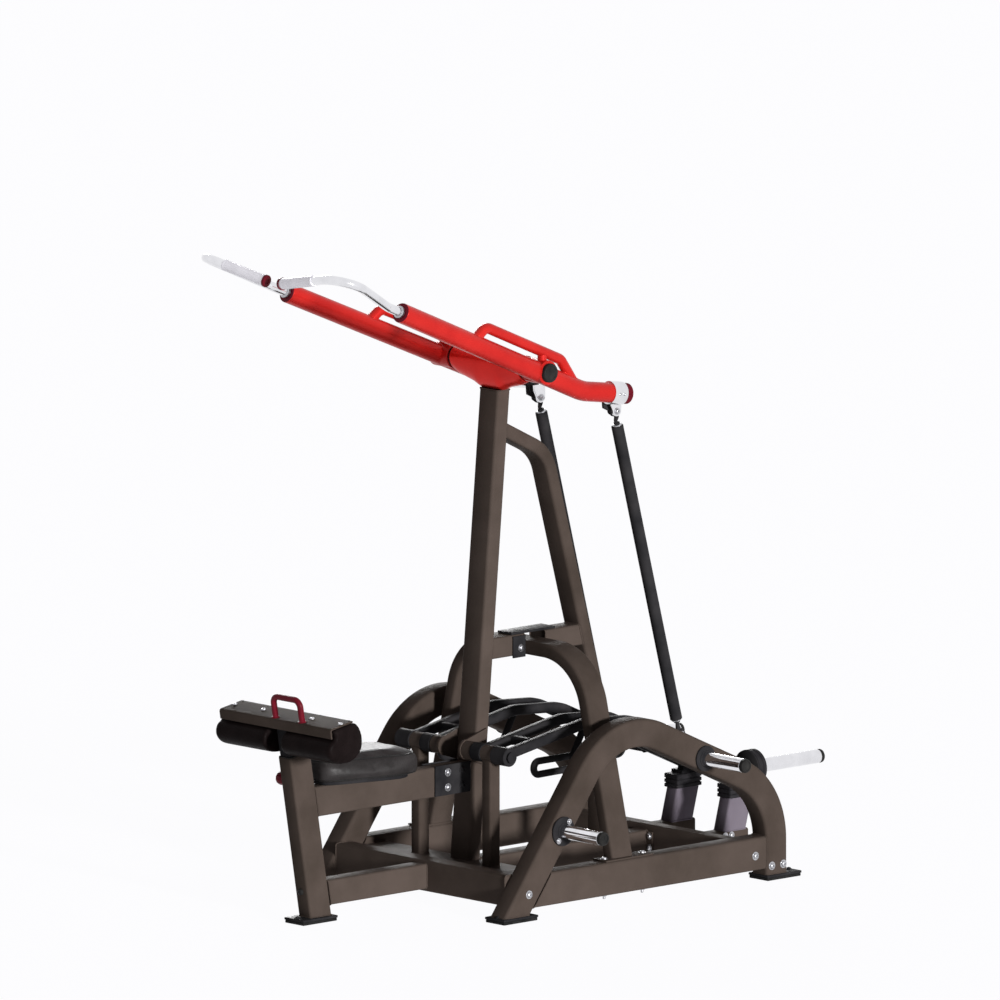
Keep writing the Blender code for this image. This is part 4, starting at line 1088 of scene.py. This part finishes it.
def addRibbedCap(name, start, way, radius, thick, ribs, finish, body, depth=0.0012):
    way = way.normalized()
    axes = crossAxes(way)
    levels = ((0.0, 0.98, 0), (0.0006, 1, 1), (thick * 0.72, 1, 1), (thick * 0.90, 0.955, 0.5), (thick, 0.86, 0),
              (thick, 0.70, 0), (thick * 0.90, 0.66, 0), (thick * 0.90, 0.20, 0), (thick * 0.94, 0.16, 0))
    rings = [ringAt(start + way * distance, *axes, ribs * 6,
                    lambda angle: radius * size - depth * share * (0.5 - 0.5 * cos(angle * ribs)))
             for distance, size, share in levels]
    makeLoft(name, rings, finish, body, smooth=40)


def makeArm(name, side):
    look = armLook
    body = "arm_" + name
    radius = look["radius"]
    corners = [armPoint(y, side) for y in (look["frontY"], look["bendY"], look["rearY"])]
    path = bentPath(corners, look["bend"], 1.5)
    way = (corners[1] - corners[0]).normalized()
    tailWay = (corners[2] - corners[1]).normalized()
    path[0] = path[0] + way * 0.002
    path[-1] = path[-1] - tailWay * 0.006
    makeTube("armTube_" + name, path, roundRing(radius, 56), None, armPaint, body, stands=("arm_" + name,),
             bevel=0.0015)
    tail = ((0, 0.97), (0.0008, 1), (0.0030, 1), (0.0052, 0.90), (0.0060, 0.6))
    makeTurned("armTailCap_" + name, path[-1], tailWay, [(d, radius * share) for d, share in tail], redPlastic,
               body)
    nose = ((0.0, 0.6), (0.0, 0.985), (0.0014, 0.975), (0.0020, 0.90))
    makeTurned("armNoseCap_" + name, path[0], -way,
               [(d, radius * share) for d, share in nose] + [(0.0020, look["barRadius"] + 0.001)], redPlastic, body)

    head, edge = headLook, 0.0025
    profile = ((head["hubInner"], head["hubRadius"] - edge), (head["hubInner"] + edge, head["hubRadius"]),
               (head["hubOuter"] - edge, head["hubRadius"]), (head["hubOuter"], head["hubRadius"] - edge))
    makeTurned("armHub_" + name, pivot, xAxis * side, profile, armPaint, body, count=56)
    addRibbedCap("hubKnob_" + name, pivot + xAxis * side * head["hubOuter"], xAxis * side, head["knobRadius"],
                 head["knobThick"], head["knobRibs"], blackPlastic, body)

    lift = zAxis * (radius + look["loopLift"])
    loop = [armPoint(look["loopFront"], side), armPoint(look["loopFront"] + look["loopFrontRun"], side) + lift,
            armPoint(look["loopRear"] - look["loopRearRun"], side) + lift, armPoint(look["loopRear"], side)]
    makeTube("armLoop_" + name, bentPath(loop, look["loopBend"], 4), roundRing(look["loopRadius"], 36), xAxis,
             armPaint, body)
    legFoot, legRadius = armPoint(look["loopMiddle"], side), look["loopRadius"] * look["legShare"]
    makeTube("armLoopLeg_" + name, [legFoot, legFoot + lift * 0.98], roundRing(legRadius, 28), None, armPaint, body)
    addSaddleWeld(loop[0], loop[1] - loop[0], look["loopRadius"], way, radius, body, armPaint, 0.0022)
    addSaddleWeld(loop[3], loop[2] - loop[3], look["loopRadius"], way, radius, body, armPaint, 0.0022)
    addSaddleWeld(legFoot, lift, legRadius, way, radius, body, armPaint, 0.0020)
    makeHandle(name, side, corners[0], way, body)


def makeHandle(name, side, front, way, body):
    look = armLook
    bar = look["barRadius"]
    elbow = front + Vector((side * look["elbow"][0], *look["elbow"][1:]))
    end = elbow + Vector((side * look["run"][0], *look["run"][1:]))
    runWay = (end - elbow).normalized()
    leave = front - way * look["barExit"]
    middle = (leave + elbow) / 2
    path = bentPath([front + way * (look["socket"] - 0.003), leave, middle], look["exitBend"], 3)[:-1]
    path += bentPath([middle, elbow, end - runWay * 0.0005], look["barBend"], 3)
    makeTube("handleBar_" + name, path, roundRing(bar, 48), None, polishedChrome, body,
             stands=("handle_bar_" + name,))
    profile = ((0.002, bar - 0.001), (0.002, bar + 0.0055), (0.011, bar + 0.0055), (0.013, bar + 0.0035),
               (0.013, bar - 0.001))
    makeTurned("barCollar_" + name, front, -way, profile, platedSteel, body, closed=True)

    gripStart = end - runWay * look["gripLength"]
    radius, length = look["gripRadius"], look["gripLength"]
    profile = [(0.0, bar + meetGap), (0.0, radius * 0.97), (0.0025, radius * 1.04), (0.006, radius * 1.03),
               (0.0085, radius)]
    steps = look["gripRibs"] * 4
    profile += [(0.010 + (length - 0.020) * k / steps,
                 radius - look["ribDepth"] * (0.5 - 0.5 * cos(2 * pi * k / 4)))
                for k in range(steps + 1)]
    profile += [(length - 0.008, radius), (length - 0.004, radius * 1.03), (length + 0.003, radius * 1.02),
                (length + 0.004, radius), (length + 0.004, bar * 0.5)]
    makeTurned("gripSleeve_" + name, gripStart, runWay, profile, gripVinyl, body, stands=("grip_" + name,),
               smooth=60)
    thick = look["gripCap"]
    steps = ((0, 1.04), (0.0006, 1.14), (thick * 0.70, 1.14), (thick * 0.92, 1.04), (thick, 0.80), (thick, 0.42),
             (thick * 0.8, 0.36))
    makeTurned("gripCap_" + name, gripStart + runWay * (length + 0.0043), runWay,
               [(distance, radius * share) for distance, share in steps], redPlastic, body,
               stands=("grip_cap_" + name,))


for name, side in sides.items():
    makeArm(name, side)
print("arms ready")

# Rod clamps on the arms' tails, forged yokes and the push rods

# Lug and cheek run from the arm (None) round the pin, as (y, z) from its centre
clampLook = dict(
    bandY=1.2290, bandWidth=0.060, bandFit=0.0004, bandThick=0.006, screws=(-0.010, 0.010), capStart=1.2610,
    capRibs=5,
    lug=dict(front=((-0.034, None), (-0.031, 0.026), (-0.020, 0.004)), end=(0.0195, 0.0185),
             rear=((0.020, 0.006), (0.020, None)), rise=0.75, thick=0.008, gap=0.0004, finish=polishedChrome),
    # The cheek is the clamp's inner lug; its black steel is painted shade where it lies in shadow
    cheek=dict(front=((-0.046, None), (-0.042, 0.012)), end=(0.0175, 0.0165), rear=((0.016, 0.012), (0.010, None)),
               rise=0.62, thick=0.0098, gap=0.0012, finish=blackSteel),
)
rodLook = dict(
    topY=1.270, topZ=1.690, footY=1.585, footZ=0.500, x=0.195, radius=0.0215, capped=0.0560, eyeRadius=0.0205,
    eyeThick=0.014, shankRadius=0.0080,
    eyes=dict(top=dict(hole=0.0066, bend=0.0045), foot=dict(hole=0.0128, bend=0.0)),
    shank=((0.0175, -1.0), (0.024, -1.0), (0.031, -0.2), (0.037, 0.6), (0.043, 0.3), (0.0515, 0.0)),
)


def makeClampSide(name, kind, low, high, armZ, body):
    shape = clampLook[kind.lower()]
    half, deep = shape["end"]
    arc = [(-half * cos(pi * k / 12), -deep * sin(pi * k / 12)) for k in range(13)]
    top = armZ - armLook["radius"] * shape["rise"]
    rows = [[at(x, rodLook["topY"] + y, top if z is None else rodLook["topZ"] + z)
             for y, z in (*shape["front"], *arc, *shape["rear"])] for x in (low, high)]
    makeLoft(f"clamp{kind}_{name}", rows, shape["finish"], body, bevel=0.0012)


def makeClamp(name, side):
    look = clampLook
    body = "arm_" + name
    middle = armPoint(look["bandY"], side)
    way = (armPoint(look["bandY"] + 0.05, side) - middle).normalized()
    shell = armLook["radius"]
    inner, outer, half = shell + look["bandFit"], shell + look["bandThick"], look["bandWidth"] / 2
    profile = ((-half, inner), (-half, outer - 0.001), (-half + 0.001, outer), (half - 0.001, outer),
               (half, outer - 0.001), (half, inner))
    makeTurned("clampBand_" + name, middle, way, profile, polishedChrome, body, stands=("rod_clamp_" + name,),
               count=64, closed=True)
    # Both clamps are the same part, not mirrored, with the bright lug to the right of the rod's eye
    x, reach = side * rodLook["x"], rodLook["eyeThick"] / 2
    lugInner = x + reach + look["lug"]["gap"]
    lugOuter = lugInner + look["lug"]["thick"]
    makeClampSide(name, "Lug", lugInner, lugOuter, middle.z, body)
    addBolt(at(lugOuter, rodLook["topY"], rodLook["topZ"]), xAxis, 0.0088, body)
    # The inner cheek's black finish paints the shade on the clamp's inner lug
    cheekInner = x - reach - look["cheek"]["gap"]
    makeClampSide(name, "Cheek", cheekInner - look["cheek"]["thick"], cheekInner, middle.z, body)

    capStart = armPoint(look["capStart"], side)
    capRun = armPoint(armLook["rearY"], side) - capStart
    length = capRun.length
    profile = [(0, shell - 0.002), (0, shell + 0.0008), (0.0015, shell + 0.0016)]
    for k in range(look["capRibs"]):
        base = 0.0025 + (length - 0.006) * k / look["capRibs"]
        profile += [(base + run, shell + rise)
                    for run, rise in ((0, 0.0016), (0.0008, 0.0006), (0.0020, 0.0006), (0.0028, 0.0016))]
    profile += [(length - 0.0015, shell + 0.0014), (length + 0.0005, shell - 0.001), (length + 0.0008, shell * 0.5)]
    makeTurned("armTailCap_" + name, capStart, capRun, profile, redPlastic, body, count=64)
    pinLength = rodLook["eyeThick"] + 0.008
    makeTurned("clampPin_" + name, at(lugInner, rodLook["topY"], rodLook["topZ"]), -xAxis * side,
               ((-0.001, 0.0055), (pinLength, 0.0055), (pinLength + 0.001, 0.0042)), platedSteel, body, count=24)
    for offset in look["screws"]:
        addBolt(middle + way * offset + xAxis * side * (outer - 0.0006), xAxis * side, 0.0052, body, washer=False)


def makeRod(name, side):
    look = rodLook
    body = "push_rod_" + name
    top = at(side * look["x"], look["topY"], look["topZ"])
    foot = at(side * look["x"], look["footY"], look["footZ"])
    way, length = (foot - top).normalized(), (foot - top).length
    radius, capped = look["radius"], look["capped"]
    ends = ((capped, 0.55), (capped, 0.93), (capped + 0.0015, 1))
    profile = [(d, radius * share) for d, share in ends] + [(length - d, radius * share)
                                                            for d, share in reversed(ends)]
    makeTurned("rodBarrel_" + name, top, way, profile, blackSteel, body, stands=("push_rod_" + name,), count=56)
    half, rim, seal = look["eyeThick"] / 2, look["eyeRadius"], radius * 0.80
    for end, start, heading in (("top", top, way), ("foot", foot, -way)):
        hole, bend = look["eyes"][end]["hole"], look["eyes"][end]["bend"]
        profile = ((0.0505, 0.0070), (0.0505, radius * 0.70), (0.0515, seal), (0.0558, seal), (0.0558, 0.0070))
        makeTurned(f"rodSeal_{end}_{name}", start, heading, profile, platedSteel, body, count=40, closed=True)
        addNut(start + heading * 0.0440, heading, 0.0115, body, height=0.55, finish=blackSteel)
        profile = ((-half, hole), (-half, rim - 0.003), (-half + 0.002, rim), (half - 0.002, rim),
                   (half, rim - 0.003), (half, hole))
        makeTurned(f"rodEye_{end}_{name}", start, xAxis, profile, blackSteel, body, closed=True)
        across = heading.cross(xAxis).normalized()
        shank = curvePath([start + heading * d + across * (bend * w) for d, w in look["shank"]], 5)
        sizes = [1.25 - 0.45 * min(1, i / (len(shank) * 0.6)) for i in range(len(shank))]
        makeLoft(f"rodShank_{end}_{name}", sweepRings(shank, roundRing(look["shankRadius"], 28), scales=sizes),
                 blackSteel, body)


for name, side in sides.items():
    makeClamp(name, side)
    makeRod(name, side)
print("rods ready")

# Levers: twin bent rails, cross tubes, rod lugs, rest feet and the working horns

leverLook = dict(
    pivotY=0.690, pivotZ=0.535, innerX=0.121, outerX=0.243, tube=0.036, corner=0.010, bend=0.20, hubRadius=0.033,
    innerCollar=0.016, outerCollar=0.020, bore=0.0146, frontCross=0.150, crossShare=0.9, crest=(1.080, 0.605),
    drop=(1.300, 0.590), tail=(1.740, 0.391), restY=1.930, sink=0.010, shoeThick=0.012,
    hairpin=((1.085, None), (1.030, 0.496), (0.842, 0.496), (0.842, 0.448), (1.130, 0.452), (1.205, None)),
    hairpinRadius=0.0125, hairpinBend=0.0235, hairpinDrop=0.012, lugHalf=0.016, hornX=0.360, hornZ=0.378,
    hornY=1.7995, hornLength=0.3155, hornRadius=0.0245, neckRadius=0.030, flangeY=1.7535, flangeRadius=0.064,
    bumperThick=0.040, groove=0.0022, stopTop=0.2793, stopX=0.136,
)


def leverZ(y):
    look = leverLook
    start = (look["pivotY"], look["pivotZ"])
    for end in (look["crest"], look["drop"], look["tail"]):
        if y <= end[0] or end is look["tail"]:
            return start[1] + (end[1] - start[1]) * (y - start[0]) / (end[0] - start[0])
        start = end


def makeLeverRails(name, side, body):
    look = leverLook
    half = look["tube"] / 2
    axis = at(0, look["pivotY"], look["pivotZ"])
    for label, x, endY in (("inner", look["innerX"], look["restY"]), ("outer", look["outerX"], look["tail"][0])):
        corners = [at(side * x, y, leverZ(y)) for y in (look["pivotY"], look["crest"][0], look["drop"][0], endY)]
        makeTube(f"lever_{label}Rail_{name}", bentPath(corners, look["bend"], 2),
                 boxRing(look["tube"], look["tube"], look["corner"], 5), xAxis, blackSteel, body,
                 stands=("lever_" + name,) if label == "inner" else (), bevel=0.0012)
        wayOut = (corners[3] - corners[2]).normalized()
        up = wayOut.cross(xAxis)
        rings = [[corners[3] + xAxis * a + up * b + wayOut * out
                  for a, b in boxRing(look["tube"] - 2 * inset, look["tube"] - 2 * inset, look["corner"], 4)]
                 for inset, out in ((0.0004, 0.0), (0.0, 0.0012), (0.003, 0.0026), (0.010, 0.0032))]
        makeLoft(f"lever_{label}Plug_{name}", rings, blackPlastic, body)
    radius, bore, edge = look["hubRadius"], look["bore"], 0.002
    for label, low, high in (("front", look["innerX"] - half, look["innerX"] + half + look["innerCollar"]),
                             ("outer", look["outerX"] - half - look["innerCollar"],
                              look["outerX"] + half + look["outerCollar"])):
        profile = ((low, bore), (low, radius - edge), (low + edge, radius), (high - edge, radius),
                   (high, radius - edge), (high, bore))
        makeTurned(f"lever_{label}Hub_{name}", axis, xAxis * side, profile, blackSteel, body, closed=True)
    narrow, start = look["tube"] * look["crossShare"], side * (look["innerX"] + half)
    for label, y, drop in (("front", look["pivotY"] + look["frontCross"], 0),
                           ("rod", rodLook["footY"], look["sink"])):
        z = leverZ(y) - drop
        makeTube(f"lever_{label}Cross_{name}", [at(start, y, z), at(side * (look["outerX"] - half), y, z)],
                 boxRing(narrow, narrow, 0.008), yAxis, blackSteel, body, welds="start end", weldSize=0.0024)
    y = look["tail"][0]
    makeTube(f"lever_tailCross_{name}", [at(start, y, leverZ(y)), at(side * look["hornX"], y, leverZ(y))],
             boxRing(look["tube"], look["tube"], 0.008), yAxis, blackSteel, body, welds="start", bevel=0.001)
    x = side * (look["outerX"] - 0.004)
    hairpin = [at(x, y, leverZ(y) - look["hairpinDrop"] if z is None else z) for y, z in look["hairpin"]]
    makeTube(f"lever_hairpin_{name}", bentPath(hairpin, look["hairpinBend"], 9),
             roundRing(look["hairpinRadius"], 28), xAxis, blackSteel, body)


def addHorn(name, start, way, length, body, node):
    radius = leverLook["hornRadius"]
    capStart = length - 0.016
    profile = ((0, radius), (capStart - 0.001, radius), (capStart, radius * 0.97), (capStart, radius * 0.5))
    makeTurned(name, start, way, profile, polishedChrome, body, stands=(node,), count=64)
    addRibbedCap(name + "Cap", start + way * (capStart - 0.0004), way, radius, 0.0164, 28, blackPlastic, body,
                 depth=0.0009)


def makeWorkingHorn(name, side, body):
    look = leverLook
    y = look["tail"][0]
    horn = at(side * look["hornX"], y, look["hornZ"])
    neck, thick, radius = look["neckRadius"], look["bumperThick"], look["flangeRadius"]
    makeTurned("hornNeck_" + name, horn - yAxis * 0.004, yAxis,
               ((0.0, neck), (look["hornY"] - y - thick + 0.010, neck)), blackSteel, body, count=40)
    front = look["flangeY"] - y
    profile = ((front, 0.020), (front, radius - 0.004), (front + 0.002, radius - 0.001),
               (front + 0.004, radius - 0.001), (front + 0.0045, 0.020))
    makeTurned("hornFlange_" + name, horn, yAxis, profile, blackSteel, body, count=64)
    bore, groove = look["hornRadius"] + 0.0004, look["groove"]
    steps = ((0, bore), (0, radius - 0.003), (0.003, radius), (thick * 0.40, radius),
             (thick * 0.46, radius - groove), (thick * 0.54, radius - groove), (thick * 0.60, radius),
             (thick - 0.004, radius), (thick, radius - 0.005), (thick, bore))
    makeTurned("hornBumper_" + name, horn, yAxis, [(front + 0.0047 + run, reach) for run, reach in steps],
               stopRubber, body, count=64, closed=True)
    length = look["hornY"] + meetGap + look["hornLength"] - (y + front + 0.005)
    addHorn("plateHorn_" + name, horn + yAxis * (front + 0.005), yAxis, length, body, "plate_horn_" + name)


def makeLeverFoot(name, side, body):
    look = leverLook
    rest, restY = look["stopTop"] + meetGap, look["restY"]
    shoeX, shankX = side * look["stopX"], side * look["innerX"]
    makeBlock("leverShoe_" + name, at(shoeX - 0.028, restY - 0.045, rest),
              at(shoeX + 0.028, restY + 0.025, rest + look["shoeThick"]), blackSteel, body)
    makeBlock("leverShank_" + name, at(shankX - 0.015, restY - 0.040, rest + look["shoeThick"] - 0.0005),
              at(shankX + 0.015, restY - 0.008, leverZ(restY - 0.030)), blackSteel, body, edge=0.0012)
    inner = side * (rodLook["x"] + rodLook["eyeThick"] / 2 + clampLook["lug"]["gap"])
    outer = inner + side * clampLook["lug"]["thick"]
    y, z, half = rodLook["footY"], rodLook["footZ"], look["lugHalf"]
    base = leverZ(y) - look["sink"]
    rows = [[at(x, y + half, base), *(at(x, y + half * cos(pi * k / 12), z + half * sin(pi * k / 12))
                                      for k in range(13)),
             at(x, y - half, base)] for x in (inner, outer)]
    makeLoft("leverLug_" + name, rows, blackSteel, body, bevel=0.001)
    addBolt(at(outer, y, z), xAxis * side, 0.0075, body)
    length = rodLook["eyeThick"] + 0.005
    makeTurned("leverPin_" + name, at(inner, y, z), -xAxis * side,
               ((-0.001, 0.0058), (length, 0.0058), (length + 0.001, 0.0045)), platedSteel, body, count=24)


for name, side in sides.items():
    makeLeverRails(name, side, "lever_" + name)
    makeWorkingHorn(name, side, "lever_" + name)
    makeLeverFoot(name, side, "lever_" + name)

# Lever supports: posts on the middle cross tube, shafts with their collars, bosses on the upright

supportLook = dict(
    postX=0.182, postFoot=0.1353, postWidth=0.050, postTop=0.525, shaftRadius=0.014, bossBore=0.0148,
    bossRadius=0.030, bossGap=0.0345, bossReach=0.0955, plateThick=0.010, plateRadius=0.036, plateTop=0.600,
    plateLow=0.470, pivotBossRadius=0.032,
)


def makeSupport(name, side):
    look = supportLook
    y, z = leverLook["pivotY"], leverLook["pivotZ"]
    axis, out = at(0, y, z), xAxis * side
    x = side * look["postX"]
    makeTube("leverPost_" + name, [at(x, y, look["postFoot"]), at(x, y, look["postTop"])],
             boxRing(look["postWidth"] - 0.004, look["postWidth"], 0.008), xAxis,
             stands=("lever_post_" + name,), welds="start", bevel=0.001)
    low, high = leverLook["innerX"] + look["bossGap"], leverLook["outerX"] - look["bossGap"]
    profile = ((low, look["bossBore"]), (low, look["bossRadius"]), (high, look["bossRadius"]),
               (high, look["bossBore"]))
    makeTurned("leverPostBoss_" + name, axis, out, profile, framePaint, closed=True)
    half, radius = leverLook["tube"] / 2, look["shaftRadius"]
    start, end = leverLook["innerX"] - half - 0.006, leverLook["outerX"] + half + 0.0265
    profile = ((start, radius), (end, radius), (end, 0.0200), (end + 0.0035, 0.0200), (end + 0.0055, 0.0170),
               (end + 0.0055, 0.008), (end + 0.0035, 0.006))
    makeTurned("leverShaft_" + name, axis, out, profile, blackSteel, stands=("lever_shaft_" + name,), count=44)
    wall = towerLook["uprightWidth"] / 2
    face = wall + look["plateThick"]
    rows = []
    for px in (side * wall, side * face):
        row = [at(px, uprightAt(height) + 0.010, height) for height in (look["plateTop"], look["plateLow"])]
        row += [at(px, y - look["plateRadius"] * sin(pi * k / 14), z - look["plateRadius"] * cos(pi * k / 14))
                for k in range(15)]
        rows.append(row)
    makeLoft("pivotBracket_" + name, rows, framePaint, bevel=0.001)
    radius, reach = look["pivotBossRadius"], look["bossReach"] + 0.0060
    profile = ((face, 0.0150), (face, radius), (reach - 0.0015, radius), (reach, radius - 0.002), (reach, 0.0150))
    makeTurned("pivotBoss_" + name, axis, out, profile, framePaint, closed=True)


for name, side in sides.items():
    makeSupport(name, side)
print("levers ready")

# Stop posts with ribbed rubber caps

stopLook = dict(
    x=0.136, width=0.060, depth=0.105, low=0.045, shelf=0.115, shelfStart=1.6403, y=1.885, lean=15, head=0.229,
    capHeight=0.050, capHalf=0.036, capOver=0.008, capRibs=(0.0120, 0.0285), ribDepth=0.0032,
    bolts=((1.836, 0.098), (1.866, 0.098), (1.6565, 0.100)),
)


def makeStop(name, side):
    look = stopLook
    x = side * look["x"]
    shift = (look["head"] - look["shelf"]) * tan(radians(look["lean"]))
    middle = (look["low"] + look["shelf"]) / 2
    makeTube("stopShelf_" + name, [at(x, look["shelfStart"], middle),
                                   at(x, look["y"] + look["depth"] / 2 + 0.010, middle)],
             boxRing(look["width"], look["shelf"] - look["low"], 0.008), xAxis, welds="start", bevel=0.001)
    foot = at(x, look["y"], look["shelf"] - 0.002)
    head = at(x, look["y"] + shift, look["head"])
    # The post's lighter stop paint is partly painted light, for the shade the arch casts on it
    makeTube("stopPost_" + name, [foot, head], boxRing(look["width"] * 0.98, look["depth"], 0.009), xAxis,
             stopPaintLit, startCut=zAxis, endCut=zAxis, stands=("stop_post_" + name,), welds="start", weldSize=0.0026)
    wide, long = look["capHalf"], look["depth"] / 2 + look["capOver"]
    tall, depth = look["capHeight"], look["ribDepth"]
    steps = [(0.0, 0.0030), (0.0015, 0.0)]
    for rise in look["capRibs"]:
        steps += [(rise, 0.0), (rise + 0.0015, depth), (rise + 0.0045, depth), (rise + 0.0060, 0.0)]
    steps += [(tall - 0.004, 0.0), (tall - 0.0012, 0.0012), (tall, 0.0045)]
    levels = [[head + zAxis * (meetGap + rise) + xAxis * a + yAxis * b
               for a, b in boxRing(2 * (wide - inset), 2 * (long - inset), 0.007)]
              for rise, inset in steps]
    makeLoft("stopCap_" + name, levels, stopRubber, stands=("stop_cap_" + name,))
    for y, z in look["bolts"]:
        addBolt(at(x + side * look["width"] / 2, y, z), xAxis * side, 0.0090)


for name, side in sides.items():
    makeStop(name, side)

# Storage horns on the outside of the arches

storeLook = dict(
    length=0.214, flange=0.0072, boltReach=0.0405, boltTurn=0.67,
    spots=dict(front=dict(y=0.722, z=0.300, radius=0.052, bolts=(1, -1)),
               rear=dict(y=1.407, z=0.475, radius=0.04576, bolts=())),
)


def makeStorageHorn(name, side, end, y, z, radius, bolts):
    look = storeLook
    way = xAxis * side
    face = at(side * (sideLook["track"] + sideLook["tubeWidth"] / 2 + meetGap), y, z)
    profile = ((0, radius - 0.0015), (0.0015, radius), (0.0055, radius), (0.0070, radius - 0.0015), (0.0070, 0.030),
               (0.0100, 0.0275), (0.0100, 0.020))
    makeTurned(f"storeFlange_{name}_{end}", face, way, profile, blackSteel, count=64)
    along = yAxis * sin(look["boltTurn"]) + zAxis * cos(look["boltTurn"])
    for turn in bolts:
        addBolt(face + way * 0.0070 + along * (look["boltReach"] * turn), way, 0.0072)
    addHorn(f"storeHorn_{name}_{end}", face + way * look["flange"], way, look["length"] - look["flange"],
            "frame", f"storage_horn_{name}_{end}")


for name, side in sides.items():
    for end, spot in storeLook["spots"].items():
        makeStorageHorn(name, side, end, **spot)
print("stops and storage horns ready")

for label, smooth, groups in (("welds", 70, weldGroups), ("fasteners", 32, boltGroups)):
    for (body, finishName), mesh in groups.items():
        makePiece(f"{label}_{body}_{finishName}", mesh, bpy.data.materials[finishName], body, smooth=smooth)

# The pad's post is carried over from the solids, with its own finish
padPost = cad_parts["pad_post"]
for holder in padPost.material_slots:
    holder.material = blackSteel
softenEdges(padPost, 0.0012, 40)
print("welds and fasteners ready")

# Floor, world, lamps and camera

stageLook = dict(
    floorSize=60.0, floorColour=(0.55, 0.55, 0.56), backColour=(0.982, 0.980, 0.995), glow=1.067, floorGlow=0.92,
    floorLift=0.34, shade=0.10,
    suns=(("keySun", (0.90, -0.10, 0.120), 3.7, 7), ("backSun", (-0.80, 0.55, 0.22), 1.6, 16)),
)


def seenBy(tree, *rays):
    path = tree.nodes.new("ShaderNodeLightPath")
    share = path.outputs[f"Is {rays[0]} Ray"]
    for ray in rays[1:]:
        share = addMath(tree, "MAXIMUM", share, path.outputs[f"Is {ray} Ray"])
    return share


def makeFloor():
    look = stageLook
    mesh = bmesh.new()
    half = look["floorSize"] / 2
    mesh.faces.new([mesh.verts.new((x, y, -0.0005))
                    for x, y in ((-half, -half), (half, -half), (half, half), (-half, half))])
    data = bpy.data.meshes.new("paleFloor")
    mesh.to_mesh(data)
    mesh.free()
    floor = bpy.data.objects.new("paleFloor", data)
    bpy.context.scene.collection.objects.link(floor)
    material = bpy.data.materials.new("paleFloor")
    material.use_nodes = True
    tree = material.node_tree
    tree.nodes.clear()
    matte = addNode(tree, "BsdfDiffuse", 0, {"Color": look["floorColour"]})
    glow = addNode(tree, "Emission", 0, {"Color": look["backColour"], "Strength": look["glow"]})
    share = addMath(tree, "MULTIPLY", seenBy(tree, "Camera", "Glossy"), look["floorGlow"])
    share = addMath(tree, "MAXIMUM", share, look["floorLift"])
    surface = addNode(tree, "MixShader", 0, {0: share, 1: matte, 2: glow})
    tree.links.new(surface, tree.nodes.new("ShaderNodeOutputMaterial").inputs["Surface"])
    data.materials.append(material)


def makeLights():
    look = stageLook
    world = bpy.data.worlds.new("studio")
    bpy.context.scene.world = world
    world.use_nodes = True
    tree = world.node_tree
    back = tree.nodes["Background"].inputs
    fill(tree, back["Color"], look["backColour"])
    fill(tree, back["Strength"], addRange(tree, seenBy(tree, "Camera", "Glossy", "Transmission"), 0, 1,
                                          look["shade"], 1.0))
    for name, place, power, spread in look["suns"]:
        lamp = bpy.data.lights.new(name, "SUN")
        lamp.energy = power
        lamp.angle = radians(spread)
        holder = bpy.data.objects.new(name, lamp)
        holder.location = place
        holder.rotation_euler = Vector(place).to_track_quat("Z", "Y").to_euler()
        bpy.context.scene.collection.objects.link(holder)


# A long lens from far away, as in the photograph, yet within the camera's clip range
cameraLook = dict(
    target=(0.0065, 0.8975, 1.392), direction=(0.7194, -0.6730, 0.1710), distance=150.0, lensPerMetre=10.26,
    clip=(10, 1000),
)


def makeCamera():
    look = cameraLook
    lens = bpy.data.cameras.new("studioCamera")
    lens.sensor_width = 36
    lens.lens = look["lensPerMetre"] * look["distance"]
    lens.clip_start, lens.clip_end = look["clip"]
    camera = bpy.data.objects.new("studioCamera", lens)
    direction = Vector(look["direction"]).normalized()
    camera.location = at(*look["target"]) + direction * look["distance"]
    camera.rotation_euler = (-direction).to_track_quat("-Z", "Y").to_euler()
    bpy.context.scene.collection.objects.link(camera)
    bpy.context.scene.camera = camera


makeFloor()
makeLights()
makeCamera()
bpy.context.scene.view_settings.view_transform = "Standard"
print("stage ready")
